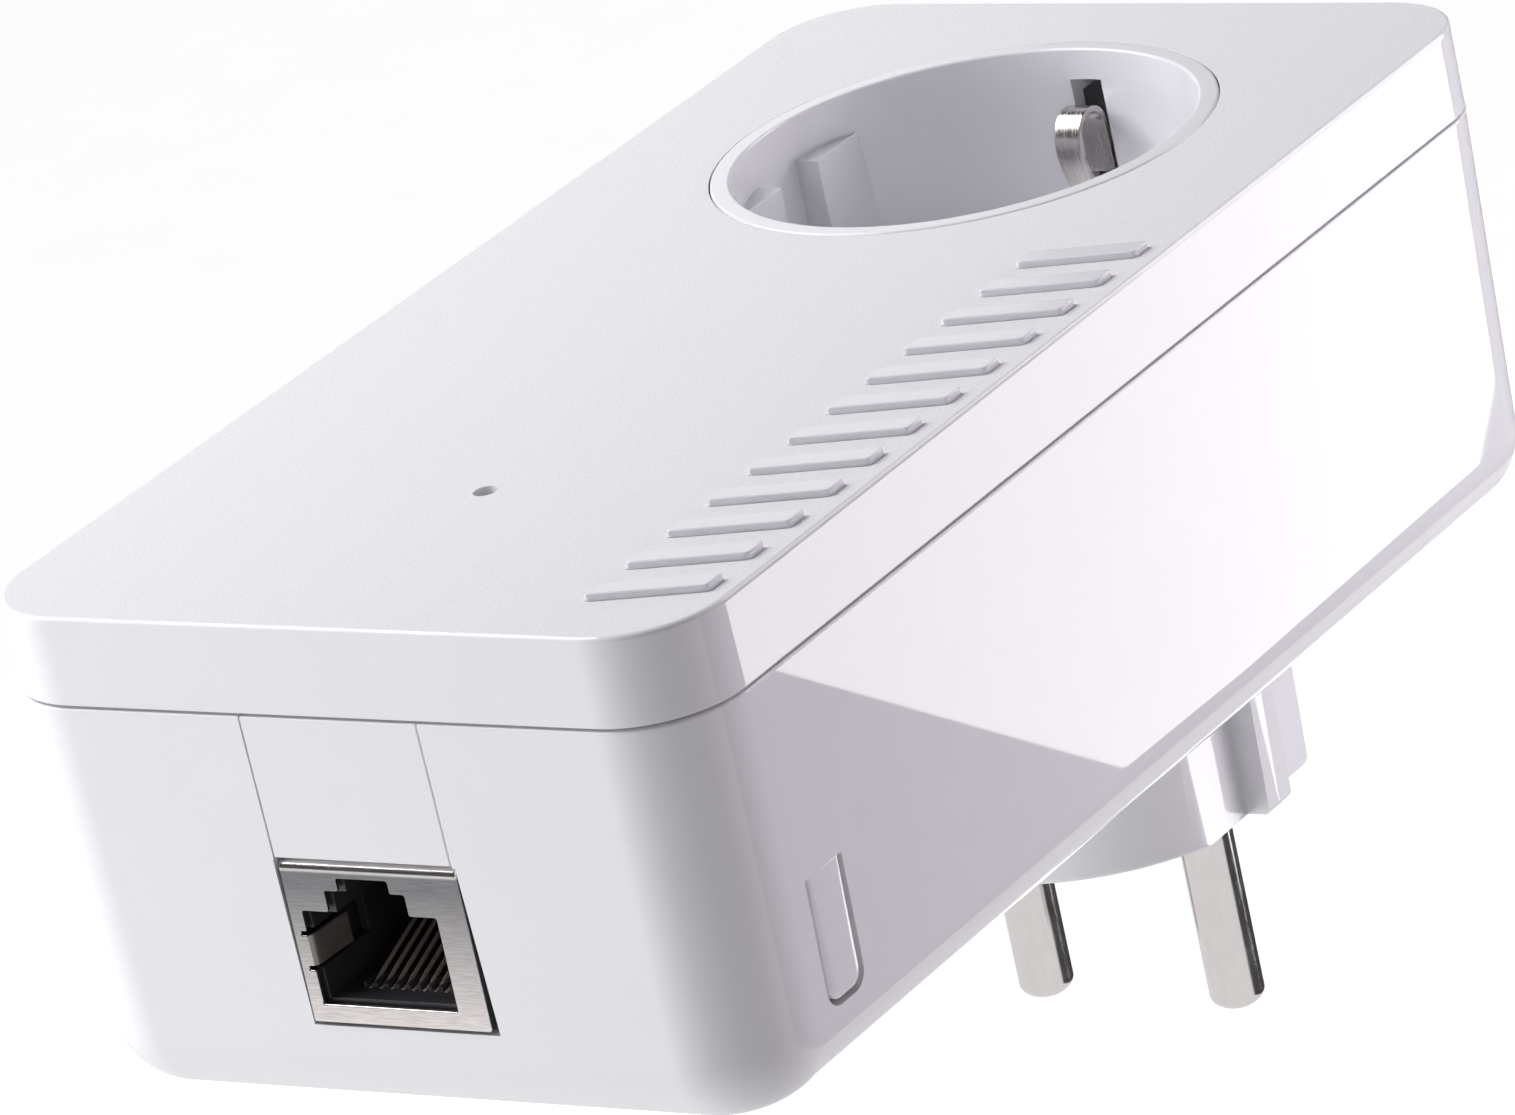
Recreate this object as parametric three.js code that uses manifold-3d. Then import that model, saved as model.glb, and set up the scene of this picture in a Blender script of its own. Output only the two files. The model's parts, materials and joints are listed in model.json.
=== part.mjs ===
// Pass-through powerline adapter: a wall-plug housing with a built-in earthed socket, a network jack
// and a pairing button. Units are millimetres. The origin is the centre of the plug's end face, +Z is
// out of the front cover, +Y towards the socket end and X across the body.
import * as THREE from "three";
import { mergeVertices } from "three/addons/utils/BufferGeometryUtils.js";
import Module from "manifold-3d";

const wasm = await Module();
wasm.setup();

// Driving dimensions of the body
const WIDTH = 66;
const LENGTH = 130;
const BODY_DEPTH = 42;
const PLUG_DEPTH = 18;
const AXIS_TO_FAR_END = 30.8;
const COVER_DEPTH = 7.4;
const SEAM = 0.45;
const WALL = 2;
const CORNER_RADIUS = 8.4;
const REAR_FILLET = 6;
const DRAFT = 0.022;
const GAP = 0.3;

// Heights and ends that follow from them
const REAR = PLUG_DEPTH;
const FRONT = REAR + BODY_DEPTH;
const COVER_BOTTOM = FRONT - COVER_DEPTH;
const RIM = COVER_BOTTOM - SEAM;
const COVER_PLATE = 2.2;
const COVER_INSIDE = FRONT - COVER_PLATE;
const FLOOR = REAR + WALL;
const FAR_END = AXIS_TO_FAR_END;
const NEAR_END = FAR_END - LENGTH;
const MID_Y = (NEAR_END + FAR_END) / 2;

// Plug and socket, to the usual earthed two-pin pattern
const PIN_SPACING = 19;
const PIN_RADIUS = 2.4;
const PIN_LENGTH = 19;
const PLUG_RADIUS = 17.7;
const PLUG_FLAT = 15.4;
const PLUG_RIB = 1.9;
const WELL_RADIUS = 19.5;
const WELL_DEPTH = 17.5;
const RING_RADIUS = 21.4;
const LUG_FACE = 17;
const LUG_START = 2.95;
const LUG_TOP = 56.6;
const CLIP_WIDTH = 2.5;

// Network jack
const JACK_HALF = 8.3;
const JACK_BOTTOM = 26.4;
const JACK_TOP = 40.1;
const JACK_FACE = NEAR_END + 0.4;
const JACK_BACK = JACK_FACE + 21;
const PORT_X = -0.7;
const PORT_BOTTOM = 28;
const WIRE_PITCH = 1.02;

// Button tongue in the +X wall
const BUTTON_Y = -85.85;
const BUTTON_HALF = 2.2;
const BUTTON_LOW = 25;
const BUTTON_HIGH = 35.5;
const PLUNGER_Z = 28.3;

// Status light under its guide
const LIGHT_X = -0.3;
const LIGHT_Y = -73.3;

// Main board
const BOARD_LOW = 24.4;
const BOARD_TOP = 26;
const ON_BOARD = BOARD_TOP + 0.2;
const BOARD_HALF = 29.2;
const BOARD_NEAR_Y = NEAR_END + 3.4;
const BOARD_FAR_Y = -24;
const BOARD_CORNER = 5.6;

// Heat sink on the line chip
const SINK_INNER_X = -9;
const SINK_OUTER_X = -25;
const SINK_NEAR_Y = -77;
const SINK_FAR_Y = -61;
const SINK_LOW = 27.9;
const SINK_PLATE_TOP = 29.2;
const SINK_TOP = 34.5;
const FIN_COUNT = 5;
const FIN_PITCH = 3.6;
const FIN_THICKNESS = 1.6;

// Box-shaped components: [x low, x high, y low, y high, top, finish]
const BOXED_COMPONENTS = {
  line_chip: [-24, -10, -76, -62, 27.6, "black"],
  memory_chip: [12, 17.2, -77, -71.8, 27.9, "black"],
  network_transformer: [-7, 8, -70.6, -61, 32, "black"],
  status_led: [LIGHT_X - 1.6, LIGHT_X + 1.6, LIGHT_Y - 1, LIGHT_Y + 1, 27.6, "clear"],
  coupling_transformer: [-26, -15, -57.5, -46.5, 35, "yellow"],
  film_capacitor: [8, 26, -34, -25.5, 40, "blue"],
  bridge_rectifier: [-4, 4, -36, -29, 28.8, "black"],
};

// Can-shaped capacitors: [radius, top, x, y]
const CAN_CAPACITORS = {
  bulk_capacitor_1: [5, 44, 20, -43],
  bulk_capacitor_2: [5, 44, 20, -55],
  output_capacitor: [3.1, 37, 9.6, -56.6],
};
const CAN_BEAD_DEPTH = 0.4;
const CAN_BEAD_LOW = 1.6;
const CAN_BEAD_PITCH = 0.5;
const CAN_EDGE = 0.5;

// Clock crystal, supply transformer, varistor, fuse and choke
const CRYSTAL = { x0: 12, x1: 22.6, y0: -67.2, y1: -62.8, corner: 2.1, height: 3.6 };
const CORE = { half: 8, y0: -48.5, y1: -43.5, top: 41 };
const CORE_WINDOW = { half: 6, y0: -50, y1: -42, low: 28.8, top: 38.4 };
const COIL = { half: 5.7, y0: -52, y1: -40, low: 29.1, top: 38.1 };
const VARISTOR = { radius: 5.4, y0: -30.6, y1: -26.8, x: -23, z: 32.2 };
const FUSE = { radius: 4.2, top: 34.2, x: -10.6, y: -30 };
const CHOKE = { radius: 4.9, wire: 2.1, x: -22, y: -39.2, lift: 2.2 };

// Case screws
const SCREW_PLACES = [
  [16, -88.5],
  [-16, -88.5],
  [20, 20],
  [-20, 20],
];

// Flat sides that stand in for a quarter circle of the body's corners
const CORNER_STEPS = 5;

// Raised bars along the +X edge of the cover
const BAR_COUNT = 12;
const BAR_PITCH = 5.9;
const BAR_START_Y = -91.6;
const BAR_WIDTH = 2.3;
const BAR_LEAN = 2.6;
const BAR_INNER_X = 21.4;
const BAR_OUTER_X = 31;
const BAR_HEIGHT = 0.6;
const CARRIER_LOW_X = 24.2;
const CARRIER_HIGH_X = 27.6;
const CARRIER_DEPTH = 1.3;
const BAR_ROOT = 0.8;

// Cutters and joined solids run this far past the faces they meet
const PAST = 1;

// Lip of the shell that locates the cover
const ABOVE_RIM = 20;
const LIP_TOP = RIM + 2.4;
const LIP_PLAY = 0.35;
const LIP_INNER = 1.6;
const LIP_ROOT = 0.6;
const LIP_ROOT_DEPTH = 3;
const COVER_EDGE = 0.4;

// Openings in the shell's walls
const PANEL_HALF = 8.2;
const PANEL_DEPTH = 4.5;
const OPENING_DEPTH = 5;
const BUTTON_CORNER = 1;
const TONGUE_REACH = 6;
const PLUG_HOLE_RADIUS = 18.5;

// Rating label and its recess
const LABEL_HALF = 24;
const LABEL_LOW_Y = -84;
const LABEL_HIGH_Y = -34;
const LABEL_CORNER = 2;
const LABEL_RECESS = 0.5;
const LABEL_EDGE = 0.35;
const LABEL_LIFT = 0.08;
const LABEL_THICKNESS = 0.26;

// Case screws, their columns and the board's standoffs
const COLUMN_RADIUS = 4.2;
const COLUMN_TOP = 44;
const COVER_POST_RADIUS = 3.4;
const SHOULDER = 24;
const HEAD_BOTTOM = 21.4;
const HEAD_CROWN = 0.1;
const HEAD_EDGE = 0.9;
const HEAD_FLAT_RADIUS = 1.9;
const HEAD_RADIUS = 2.7;
const SHAFT_RADIUS = 1.3;
const SCREW_END = 52;
const SCREW_TIP = 1.5;
const SCREW_PLAY = 0.4;
const THREAD_PLAY = 0.35;
const DRIVE_HALF = 0.35;
const DRIVE_REACH = 1.5;
const DRIVE_TOP = 22.4;
const STANDOFF_RADIUS = 2;
const STANDOFF_GAP = 0.2;
const STANDOFFS = [
  [24, -70],
  [-24, -70],
  [24, -34],
  [-24, -34],
];

// Light guide
const LIGHT_HOLE = 1;
const GUIDE_LOW = 28;
const GUIDE_FOOT = 2;
const GUIDE_FOOT_RADIUS = 1.9;
const GUIDE_FOOT_TAPER = 1;
const GUIDE_NECK_LOW = 0.6;
const GUIDE_NECK_TOP = 0.2;
const GUIDE_RADIUS = 1.1;
const GUIDE_TIP_RADIUS = 0.7;
const GUIDE_TIP_DEPTH = 0.9;

// Plug
const FLANGE_LOW = FLOOR + 0.35;
const FLANGE_TOP = FLANGE_LOW + 2;
const FLANGE_RADIUS = 20.5;
const PLUG_FLOOR = 2.4;
const HOLLOW_RADIUS = 15.4;
const HOLLOW_HALF = 13.2;
const FLAT_END_GAP = 0.4;
const SLEEVE_RADIUS = 3.6;
const PIN_X = PIN_SPACING / 2;
const PIN_TOP = 13.6;
const EARTH_STRIP_Y = 17.5;
const EARTH_STRIP_HALF = 2;
const EARTH_STRIP_THICKNESS = 0.55;
const EARTH_STRIP_TOP = 24.6;
const EARTH_SLOT_OUTER = 22;
const EARTH_SLOT_GAP = 0.4;
const PIN_NOSE = [
  [0, 0],
  [0.95, 0.2],
  [1.7, 0.75],
  [2.2, 1.6],
  [PIN_RADIUS, 2.6],
];

// Socket insert
const WELL_FLOOR = FRONT - WELL_DEPTH;
const INSERT_BOTTOM = WELL_FLOOR - 1.5;
const INSERT_RADIUS = 21.1;
const INSERT_COLLAR_RADIUS = 23.4;
const INSERT_COLLAR_LOW = 55.9;
const INSERT_COLLAR_GAP = 0.4;
const RING_HOLE = RING_RADIUS + 0.35;
const RING_PROFILE = [
  [RING_RADIUS, -0.35],
  [21, 0.1],
  [20.3, 0.1],
  [19.7, -0.3],
  [WELL_RADIUS, -0.9],
];
const LUG_END = 11.5;
const PIN_HOLE_RADIUS = 2.75;
const POST_RADIUS = 1.25;
const POST_END = 35.4;
const SLOT_HALF = CLIP_WIDTH / 2 + 0.25;
const SLOT_INNER = 17.2;
const SLOT_OUTER = 26;
const SLOT_TOP = 57.4;

// Earth clips, drawn in (y, z), and the bridge between them
const CLIP_THICKNESS = 0.55;
const CLIP_ROOT = [22, 38.2];
const CLIP_LINE = [
  CLIP_ROOT,
  [22, 41.4],
  [20.9, 43.6],
  [18.6, 45.6],
  [16.6, 48.2],
  [15.3, 51.2],
  [15.1, 53.4],
  [15.9, 55],
  [17.4, 55.5],
  [18.9, 54.8],
  [19.4, 53],
  [19.5, 49.2],
];
const BRIDGE_Z = 24.9;
const BRIDGE_HALF = 1.5;
const BRIDGE_REACH = 22.3;
const BRIDGE_THICKNESS = 0.8;

// Shutter behind the pin holes, its spring and retainer
const SHUTTER_TOP = INSERT_BOTTOM - 0.5;
const SHUTTER_LOW = SHUTTER_TOP - 1.5;
const SHUTTER_HUB = 4;
const SHUTTER_LID = 3.5;
const SHUTTER_ARM_HALF = 2.2;
const SHUTTER_PLAY = 0.35;
const SPRING_TURNS = 2.5;
const SPRING_RADIUS = 2.1;
const SPRING_WIRE = 0.22;
const SPRING_LOW = 37;
const SPRING_HEIGHT = 1.5;
const SPRING_POINTS = 8;
const RETAINER_RADIUS = 2.8;
const RETAINER_LOW = 35.6;
const RETAINER_HIGH = 36.5;

// Pin contacts, their carrier and the busbars to the board
const CONTACT_RADIUS = 3.4;
const CONTACT_BORE = 2.65;
const CONTACT_LOW = 25;
const CONTACT_TOP = 38.4;
const CONTACT_SLIT_HALF = 0.6;
const CONTACT_SLIT_DEPTH = 5;
const BUSBAR_HALF = 1;
const BUSBAR_TOP = 24.2;
const BUSBAR_THICKNESS = 0.8;
const BUSBAR_END_Y = -26.5;
const CARRIER_RADIUS = 17.5;
const CARRIER_LOW = 27.5;
const CARRIER_TOP = 34;
const CARRIER_FOOT = 11.6;
const CARRIER_FOOT_HALF = 1.4;
const CARRIER_HOLE = 3.75;

// Button nib, switch and plunger
const NIB_INNER_X = 28.9;
const NIB_OUTER_X = 31;
const NIB_HALF_WIDTH = 0.8;
const NIB_HALF_HEIGHT = 0.9;
const SWITCH_INNER_X = 21.5;
const SWITCH_OUTER_X = 26.5;
const SWITCH_HALF = 2.8;
const SWITCH_HEIGHT = 4.3;
const SWITCH_BORE = 1.5;
const SWITCH_BORE_X = 24.5;
const PLUNGER_RADIUS = 1.2;
const PLUNGER_INNER_X = 25.3;
const PLUNGER_OUTER_X = 28.6;

// Network jack's mouth, shield tab and wires
const SHIELD_WALL = 0.4;
const MOUTH_HALF = [
  [6.3, PORT_BOTTOM],
  [6.3, 35.9],
  [3.75, 35.9],
  [3.75, 37.7],
  [2.4, 37.7],
  [2.4, 38.8],
];
const TAB_INNER_X = -6.75;
const TAB_OUTER_X = -7.3;
const TAB_REACH = 6.2;
const TAB_LOW = 31.2;
const TAB_HIGH = 33.8;
const POCKET_GAP = 0.4;
const POCKET_X = -6.4;
const POCKET_DEPTH = 7.1;
const BODY_LIFT = 0.1;
const CAVITY_DEPTH = 13.6;
const WIRE_COUNT = 8;
const WIRE_RADIUS = 0.2;
const WIRE_LINE = [
  [4.4, 0.6],
  [5, 0.62],
  [12.6, 2.9],
  [13.2, 2.7],
];

const group = new THREE.Group();

// Finishes: colour, roughness and metalness of each moulded, pressed or wound material
const FINISHES = {
  cover: [0xf1f0f3, 0.5, 0],
  shell: [0xf6f6f8, 0.16, 0],
  trim: [0xe3e2ea, 0.15, 0.1],
  nickel: [0xcfcdc9, 0.22, 1],
  spring: [0xb9b6b1, 0.3, 1],
  brass: [0xc9a24a, 0.3, 1],
  black: [0x1a191c, 0.5, 0],
  board: [0x1f5c36, 0.5, 0],
  grey: [0x8a8c90, 0.6, 0],
  clear: [0xf4f6f8, 0.1, 0],
  copper: [0xb4622d, 0.35, 1],
  ferrite: [0x3b3a3c, 0.7, 0],
  yellow: [0xe0b52e, 0.45, 0],
  blue: [0x2c5fa8, 0.45, 0],
  aluminium: [0xb9bcc0, 0.35, 1],
};

// Geometry to solid and back

function solidOf(geometry) {
  const bare = geometry.clone();
  bare.deleteAttribute("normal");
  bare.deleteAttribute("uv");
  const merged = mergeVertices(bare, 1e-4);
  return new wasm.Manifold(
    new wasm.Mesh({
      numProp: 3,
      vertProperties: merged.attributes.position.array,
      triVerts: new Uint32Array(merged.index.array),
    }),
  );
}

function geometryOf(solid) {
  const mesh = solid.getMesh();
  const geometry = new THREE.BufferGeometry();
  geometry.setAttribute("position", new THREE.BufferAttribute(mesh.vertProperties, 3));
  geometry.setIndex(new THREE.BufferAttribute(mesh.triVerts, 1));
  geometry.computeVertexNormals();
  return geometry;
}

function addPart(name, solid, finish) {
  const [color, roughness, metalness] = FINISHES[finish];
  const material = new THREE.MeshStandardMaterial({ color, roughness, metalness });
  const mesh = new THREE.Mesh(geometryOf(solid), material);
  mesh.name = name;
  group.add(mesh);
}

function union(first, ...rest) {
  return rest.reduce((sum, solid) => sum.add(solid), first);
}

function cut(first, ...rest) {
  return rest.reduce((left, solid) => left.subtract(solid), first);
}

// Basic solids, each placed directly in the body's frame

function box(x0, x1, y0, y1, z0, z1) {
  const geometry = new THREE.BoxGeometry(x1 - x0, y1 - y0, z1 - z0);
  return solidOf(geometry.translate((x0 + x1) / 2, (y0 + y1) / 2, (z0 + z1) / 2));
}

function rod(radius, z0, z1, x = 0, y = 0, sides = 24) {
  const geometry = new THREE.CylinderGeometry(radius, radius, z1 - z0, sides);
  return solidOf(geometry.rotateX(Math.PI / 2).translate(x, y, (z0 + z1) / 2));
}

function rodAlongX(radius, x0, x1, y, z, sides = 20) {
  const geometry = new THREE.CylinderGeometry(radius, radius, x1 - x0, sides);
  return solidOf(geometry.rotateZ(Math.PI / 2).translate((x0 + x1) / 2, y, z));
}

function rodAlongY(radius, y0, y1, x, z, sides = 24) {
  const geometry = new THREE.CylinderGeometry(radius, radius, y1 - y0, sides);
  return solidOf(geometry.translate(x, (y0 + y1) / 2, z));
}

function turned(profile, x = 0, y = 0, sides = 48) {
  const points = profile.map(([r, z]) => new THREE.Vector2(r, z));
  const geometry = new THREE.LatheGeometry(points, sides);
  return solidOf(geometry.rotateX(Math.PI / 2).translate(x, y, 0));
}

function prism(shape, z0, z1, curveSegments = CORNER_STEPS) {
  const geometry = new THREE.ExtrudeGeometry(shape, {
    depth: z1 - z0,
    bevelEnabled: false,
    curveSegments,
  });
  return solidOf(geometry.translate(0, 0, z0));
}

// A shape drawn in (y, z), extruded along X
function prismX(shape, x0, x1, curveSegments = 6) {
  const geometry = new THREE.ExtrudeGeometry(shape, {
    depth: x1 - x0,
    bevelEnabled: false,
    curveSegments,
  });
  const turn = new THREE.Matrix4().makeBasis(
    new THREE.Vector3(0, 1, 0),
    new THREE.Vector3(0, 0, 1),
    new THREE.Vector3(1, 0, 0),
  );
  return solidOf(geometry.applyMatrix4(turn).translate(x0, 0, 0));
}

// A shape drawn in (x, z), extruded along Y
function prismY(shape, y0, y1, curveSegments = 6) {
  const geometry = new THREE.ExtrudeGeometry(shape, {
    depth: y1 - y0,
    bevelEnabled: false,
    curveSegments,
  });
  return solidOf(geometry.rotateX(Math.PI / 2).translate(0, y1, 0));
}

function polygon(points) {
  return new THREE.Shape(points.map(([a, b]) => new THREE.Vector2(a, b)));
}

function roundedRect(a0, a1, b0, b1, radius) {
  const shape = new THREE.Shape();
  shape.absarc(a1 - radius, b0 + radius, radius, -Math.PI / 2, 0);
  shape.absarc(a1 - radius, b1 - radius, radius, 0, Math.PI / 2);
  shape.absarc(a0 + radius, b1 - radius, radius, Math.PI / 2, Math.PI);
  shape.absarc(a0 + radius, b0 + radius, radius, Math.PI, (3 * Math.PI) / 2);
  shape.closePath();
  return shape;
}

// The body's plan outline, set in from its outer faces
function bodyOutline(inset) {
  const half = WIDTH / 2 - inset;
  return roundedRect(-half, half, NEAR_END + inset, FAR_END - inset, CORNER_RADIUS - inset);
}

// A closed plan outline with the same rounded edge all round at its top and bottom
function roundedBlock(inset, z0, z1, edge, segments) {
  const geometry = new THREE.ExtrudeGeometry(bodyOutline(inset + edge), {
    depth: z1 - z0 - 2 * edge,
    bevelThickness: edge,
    bevelSize: edge,
    bevelSegments: segments,
    curveSegments: CORNER_STEPS,
  });
  return geometry.translate(0, 0, z0 + edge);
}

// The sides lean in towards the rear face, so the shell leaves its mould
function withDraft(geometry) {
  const place = geometry.getAttribute("position");
  for (let i = 0; i < place.count; i++) {
    const lean = DRAFT * Math.max(0, RIM - place.getZ(i));
    place.setX(i, place.getX(i) * (1 - lean / (WIDTH / 2)));
    place.setY(i, MID_Y + (place.getY(i) - MID_Y) * (1 - lean / (LENGTH / 2)));
  }
  return geometry;
}

// A flat strip of constant thickness along a smooth line drawn in (a, b)
function stripShape(line, thickness, steps) {
  const curve = new THREE.SplineCurve(line.map(([a, b]) => new THREE.Vector2(a, b)));
  const left = [];
  const right = [];
  for (let i = 0; i <= steps; i++) {
    const point = curve.getPoint(i / steps);
    const along = curve.getTangent(i / steps);
    const side = new THREE.Vector2(-along.y, along.x).multiplyScalar(thickness / 2);
    left.push(point.clone().add(side));
    right.unshift(point.clone().sub(side));
  }
  return new THREE.Shape([...left, ...right]);
}

// A round wire or lead along a smooth line
function wire(line, radius, steps, sides = 8) {
  const section = new THREE.Shape();
  section.absarc(0, 0, radius, 0, 2 * Math.PI);
  const geometry = new THREE.ExtrudeGeometry(section, {
    steps,
    curveSegments: sides,
    bevelEnabled: false,
    extrudePath: new THREE.CatmullRomCurve3(line.map((p) => new THREE.Vector3(...p))),
  });
  return solidOf(geometry);
}

// Enclosure

const outerShell = solidOf(withDraft(roundedBlock(0, REAR, RIM + ABOVE_RIM, REAR_FILLET, 4)));
const innerShell = solidOf(
  withDraft(roundedBlock(WALL, FLOOR, RIM + ABOVE_RIM - WALL, REAR_FILLET - WALL, 2)),
);
const aboveRim = box(-WIDTH, WIDTH, NEAR_END - PAST, FAR_END + PAST, RIM, RIM + 2 * ABOVE_RIM);
const lipRoot = cut(
  prism(bodyOutline(WALL - LIP_ROOT), RIM - LIP_ROOT_DEPTH, RIM),
  prism(bodyOutline(WALL + LIP_INNER), RIM - LIP_ROOT_DEPTH - PAST, RIM + PAST),
);
const lipRing = cut(
  prism(bodyOutline(WALL + LIP_PLAY), RIM - PAST / 2, LIP_TOP),
  prism(bodyOutline(WALL + LIP_INNER), RIM - PAST, LIP_TOP + PAST),
);
const shellWall = union(cut(outerShell, innerShell, aboveRim), lipRoot, lipRing);

// Cutters for the jack and the panel over it, and for the button's slot
const outsideNearEnd = NEAR_END - PAST;
const insideNearEnd = NEAR_END + OPENING_DEPTH;
const panelEdge = PANEL_HALF + GAP;
const jackEdge = JACK_HALF + GAP;
const panelOpening = union(
  box(-panelEdge, panelEdge, outsideNearEnd, insideNearEnd, JACK_TOP, LIP_TOP + PAST),
  box(-jackEdge, jackEdge, outsideNearEnd, insideNearEnd, JACK_BOTTOM - GAP, JACK_TOP + GAP),
);

function buttonPrism(grow) {
  const outline = roundedRect(
    BUTTON_Y - BUTTON_HALF - grow,
    BUTTON_Y + BUTTON_HALF + grow,
    BUTTON_LOW - grow,
    BUTTON_HIGH + grow,
    BUTTON_CORNER + grow,
  );
  return prismX(outline, WIDTH / 2 - TONGUE_REACH, WIDTH / 2 + PAST);
}

function rearHousing() {
  let body = shellWall;
  SCREW_PLACES.forEach(([x, y]) => {
    body = body.add(rod(COLUMN_RADIUS, FLOOR - PAST, COLUMN_TOP, x, y, 16));
  });
  STANDOFFS.forEach(([x, y]) => {
    body = body.add(rod(STANDOFF_RADIUS, FLOOR - PAST, BOARD_LOW - STANDOFF_GAP, x, y, 8));
  });
  SCREW_PLACES.forEach(([x, y]) => {
    body = body.subtract(rod(HEAD_RADIUS + SCREW_PLAY, REAR - PAST, SHOULDER, x, y, 16));
    body = body.subtract(rod(SHAFT_RADIUS + SCREW_PLAY, SHOULDER - PAST, COLUMN_TOP + PAST, x, y, 8));
  });
  const labelRecess = prism(
    roundedRect(-LABEL_HALF, LABEL_HALF, LABEL_LOW_Y, LABEL_HIGH_Y, LABEL_CORNER),
    REAR - PAST,
    REAR + LABEL_RECESS,
    3,
  );
  const plugHole = rod(PLUG_HOLE_RADIUS, REAR - PAST, FLOOR + PAST, 0, 0, 40);
  return cut(body, panelOpening, buttonPrism(GAP), labelRecess, plugHole);
}
addPart("rear_housing", rearHousing(), "shell");

function portFillerPanel() {
  const back = NEAR_END + PANEL_DEPTH;
  return shellWall.intersect(
    box(-PANEL_HALF, PANEL_HALF, outsideNearEnd, back, JACK_TOP + GAP, LIP_TOP),
  );
}
addPart("port_filler_panel", portFillerPanel(), "shell");

function ratingLabel() {
  const outline = roundedRect(
    -LABEL_HALF + LABEL_EDGE,
    LABEL_HALF - LABEL_EDGE,
    LABEL_LOW_Y + LABEL_EDGE,
    LABEL_HIGH_Y - LABEL_EDGE,
    LABEL_CORNER - LABEL_EDGE,
  );
  const low = REAR + LABEL_LIFT;
  return prism(outline, low, low + LABEL_THICKNESS, 3);
}
addPart("rating_label", ratingLabel(), "trim");

function barShape(index, margin) {
  const y = BAR_START_Y + index * BAR_PITCH;
  const half = BAR_WIDTH / 2 + margin;
  const inner = BAR_INNER_X - margin;
  const outer = BAR_OUTER_X + margin;
  return polygon([
    [inner, y - half],
    [outer, y - half + BAR_LEAN],
    [outer, y + half + BAR_LEAN],
    [inner, y + half],
  ]);
}

function frontCover() {
  let body = solidOf(roundedBlock(0, COVER_BOTTOM, FRONT, COVER_EDGE, 2));
  body = body.subtract(prism(bodyOutline(WALL), COVER_BOTTOM - PAST, COVER_INSIDE));
  SCREW_PLACES.forEach(([x, y]) => {
    const post = rod(COVER_POST_RADIUS, COLUMN_TOP + SCREW_PLAY, COVER_INSIDE + PAST / 2, x, y, 12);
    const bore = rod(SHAFT_RADIUS + THREAD_PLAY, COLUMN_TOP, SCREW_END + 2 * PAST, x, y, 8);
    body = body.add(post).subtract(bore);
  });
  for (let i = 0; i < BAR_COUNT; i++) {
    body = body.subtract(prism(barShape(i, GAP), COVER_INSIDE - PAST, FRONT + PAST));
  }
  return cut(
    body,
    rod(RING_HOLE, COVER_INSIDE - PAST, FRONT + PAST, 0, 0, 48),
    rod(LIGHT_HOLE, COVER_INSIDE - PAST, FRONT + PAST, LIGHT_X, LIGHT_Y, 16),
  );
}
addPart("front_cover", frontCover(), "cover");

// One moulding: a carrier strip under the cover holds the bars, which stand through its slots
function trimBars() {
  const end = BAR_START_Y + (BAR_COUNT - 1) * BAR_PITCH + BAR_LEAN;
  const low = COVER_INSIDE - CARRIER_DEPTH;
  let body = box(CARRIER_LOW_X, CARRIER_HIGH_X, BAR_START_Y, end, low, COVER_INSIDE - GAP);
  for (let i = 0; i < BAR_COUNT; i++) {
    body = body.add(prism(barShape(i, 0), COVER_INSIDE - BAR_ROOT, FRONT + BAR_HEIGHT));
  }
  return body;
}
addPart("trim_bars", trimBars(), "trim");

function lightGuide() {
  const top = FRONT - GUIDE_TIP_DEPTH;
  const profile = [
    [0, GUIDE_LOW],
    [GUIDE_FOOT_RADIUS, GUIDE_LOW],
    [GUIDE_FOOT_RADIUS, GUIDE_LOW + GUIDE_FOOT],
    [GUIDE_RADIUS, GUIDE_LOW + GUIDE_FOOT + GUIDE_FOOT_TAPER],
    [GUIDE_RADIUS, COVER_INSIDE - GUIDE_NECK_LOW],
    [GUIDE_TIP_RADIUS, COVER_INSIDE - GUIDE_NECK_TOP],
    [GUIDE_TIP_RADIUS, top],
    [0, top],
  ];
  return turned(profile, LIGHT_X, LIGHT_Y, 14);
}
addPart("light_guide", lightGuide(), "clear");

function caseScrew(x, y) {
  const profile = [
    [0, HEAD_BOTTOM],
    [HEAD_FLAT_RADIUS, HEAD_BOTTOM + HEAD_CROWN],
    [HEAD_RADIUS, HEAD_BOTTOM + HEAD_EDGE],
    [HEAD_RADIUS, SHOULDER - GAP],
    [SHAFT_RADIUS, SHOULDER - GAP],
    [SHAFT_RADIUS, SCREW_END - SCREW_TIP],
    [0, SCREW_END],
  ];
  const low = HEAD_BOTTOM - PAST;
  return cut(
    turned(profile, x, y, 16),
    box(x - DRIVE_HALF, x + DRIVE_HALF, y - DRIVE_REACH, y + DRIVE_REACH, low, DRIVE_TOP),
    box(x - DRIVE_REACH, x + DRIVE_REACH, y - DRIVE_HALF, y + DRIVE_HALF, low, DRIVE_TOP),
  );
}
SCREW_PLACES.forEach(([x, y], i) => addPart(`case_screw_${i + 1}`, caseScrew(x, y), "spring"));

// Plug

// Two lengths, in rising order, on one side of the middle
function reach(side, near, far) {
  return side > 0 ? [near, far] : [-far, -near];
}

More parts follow.
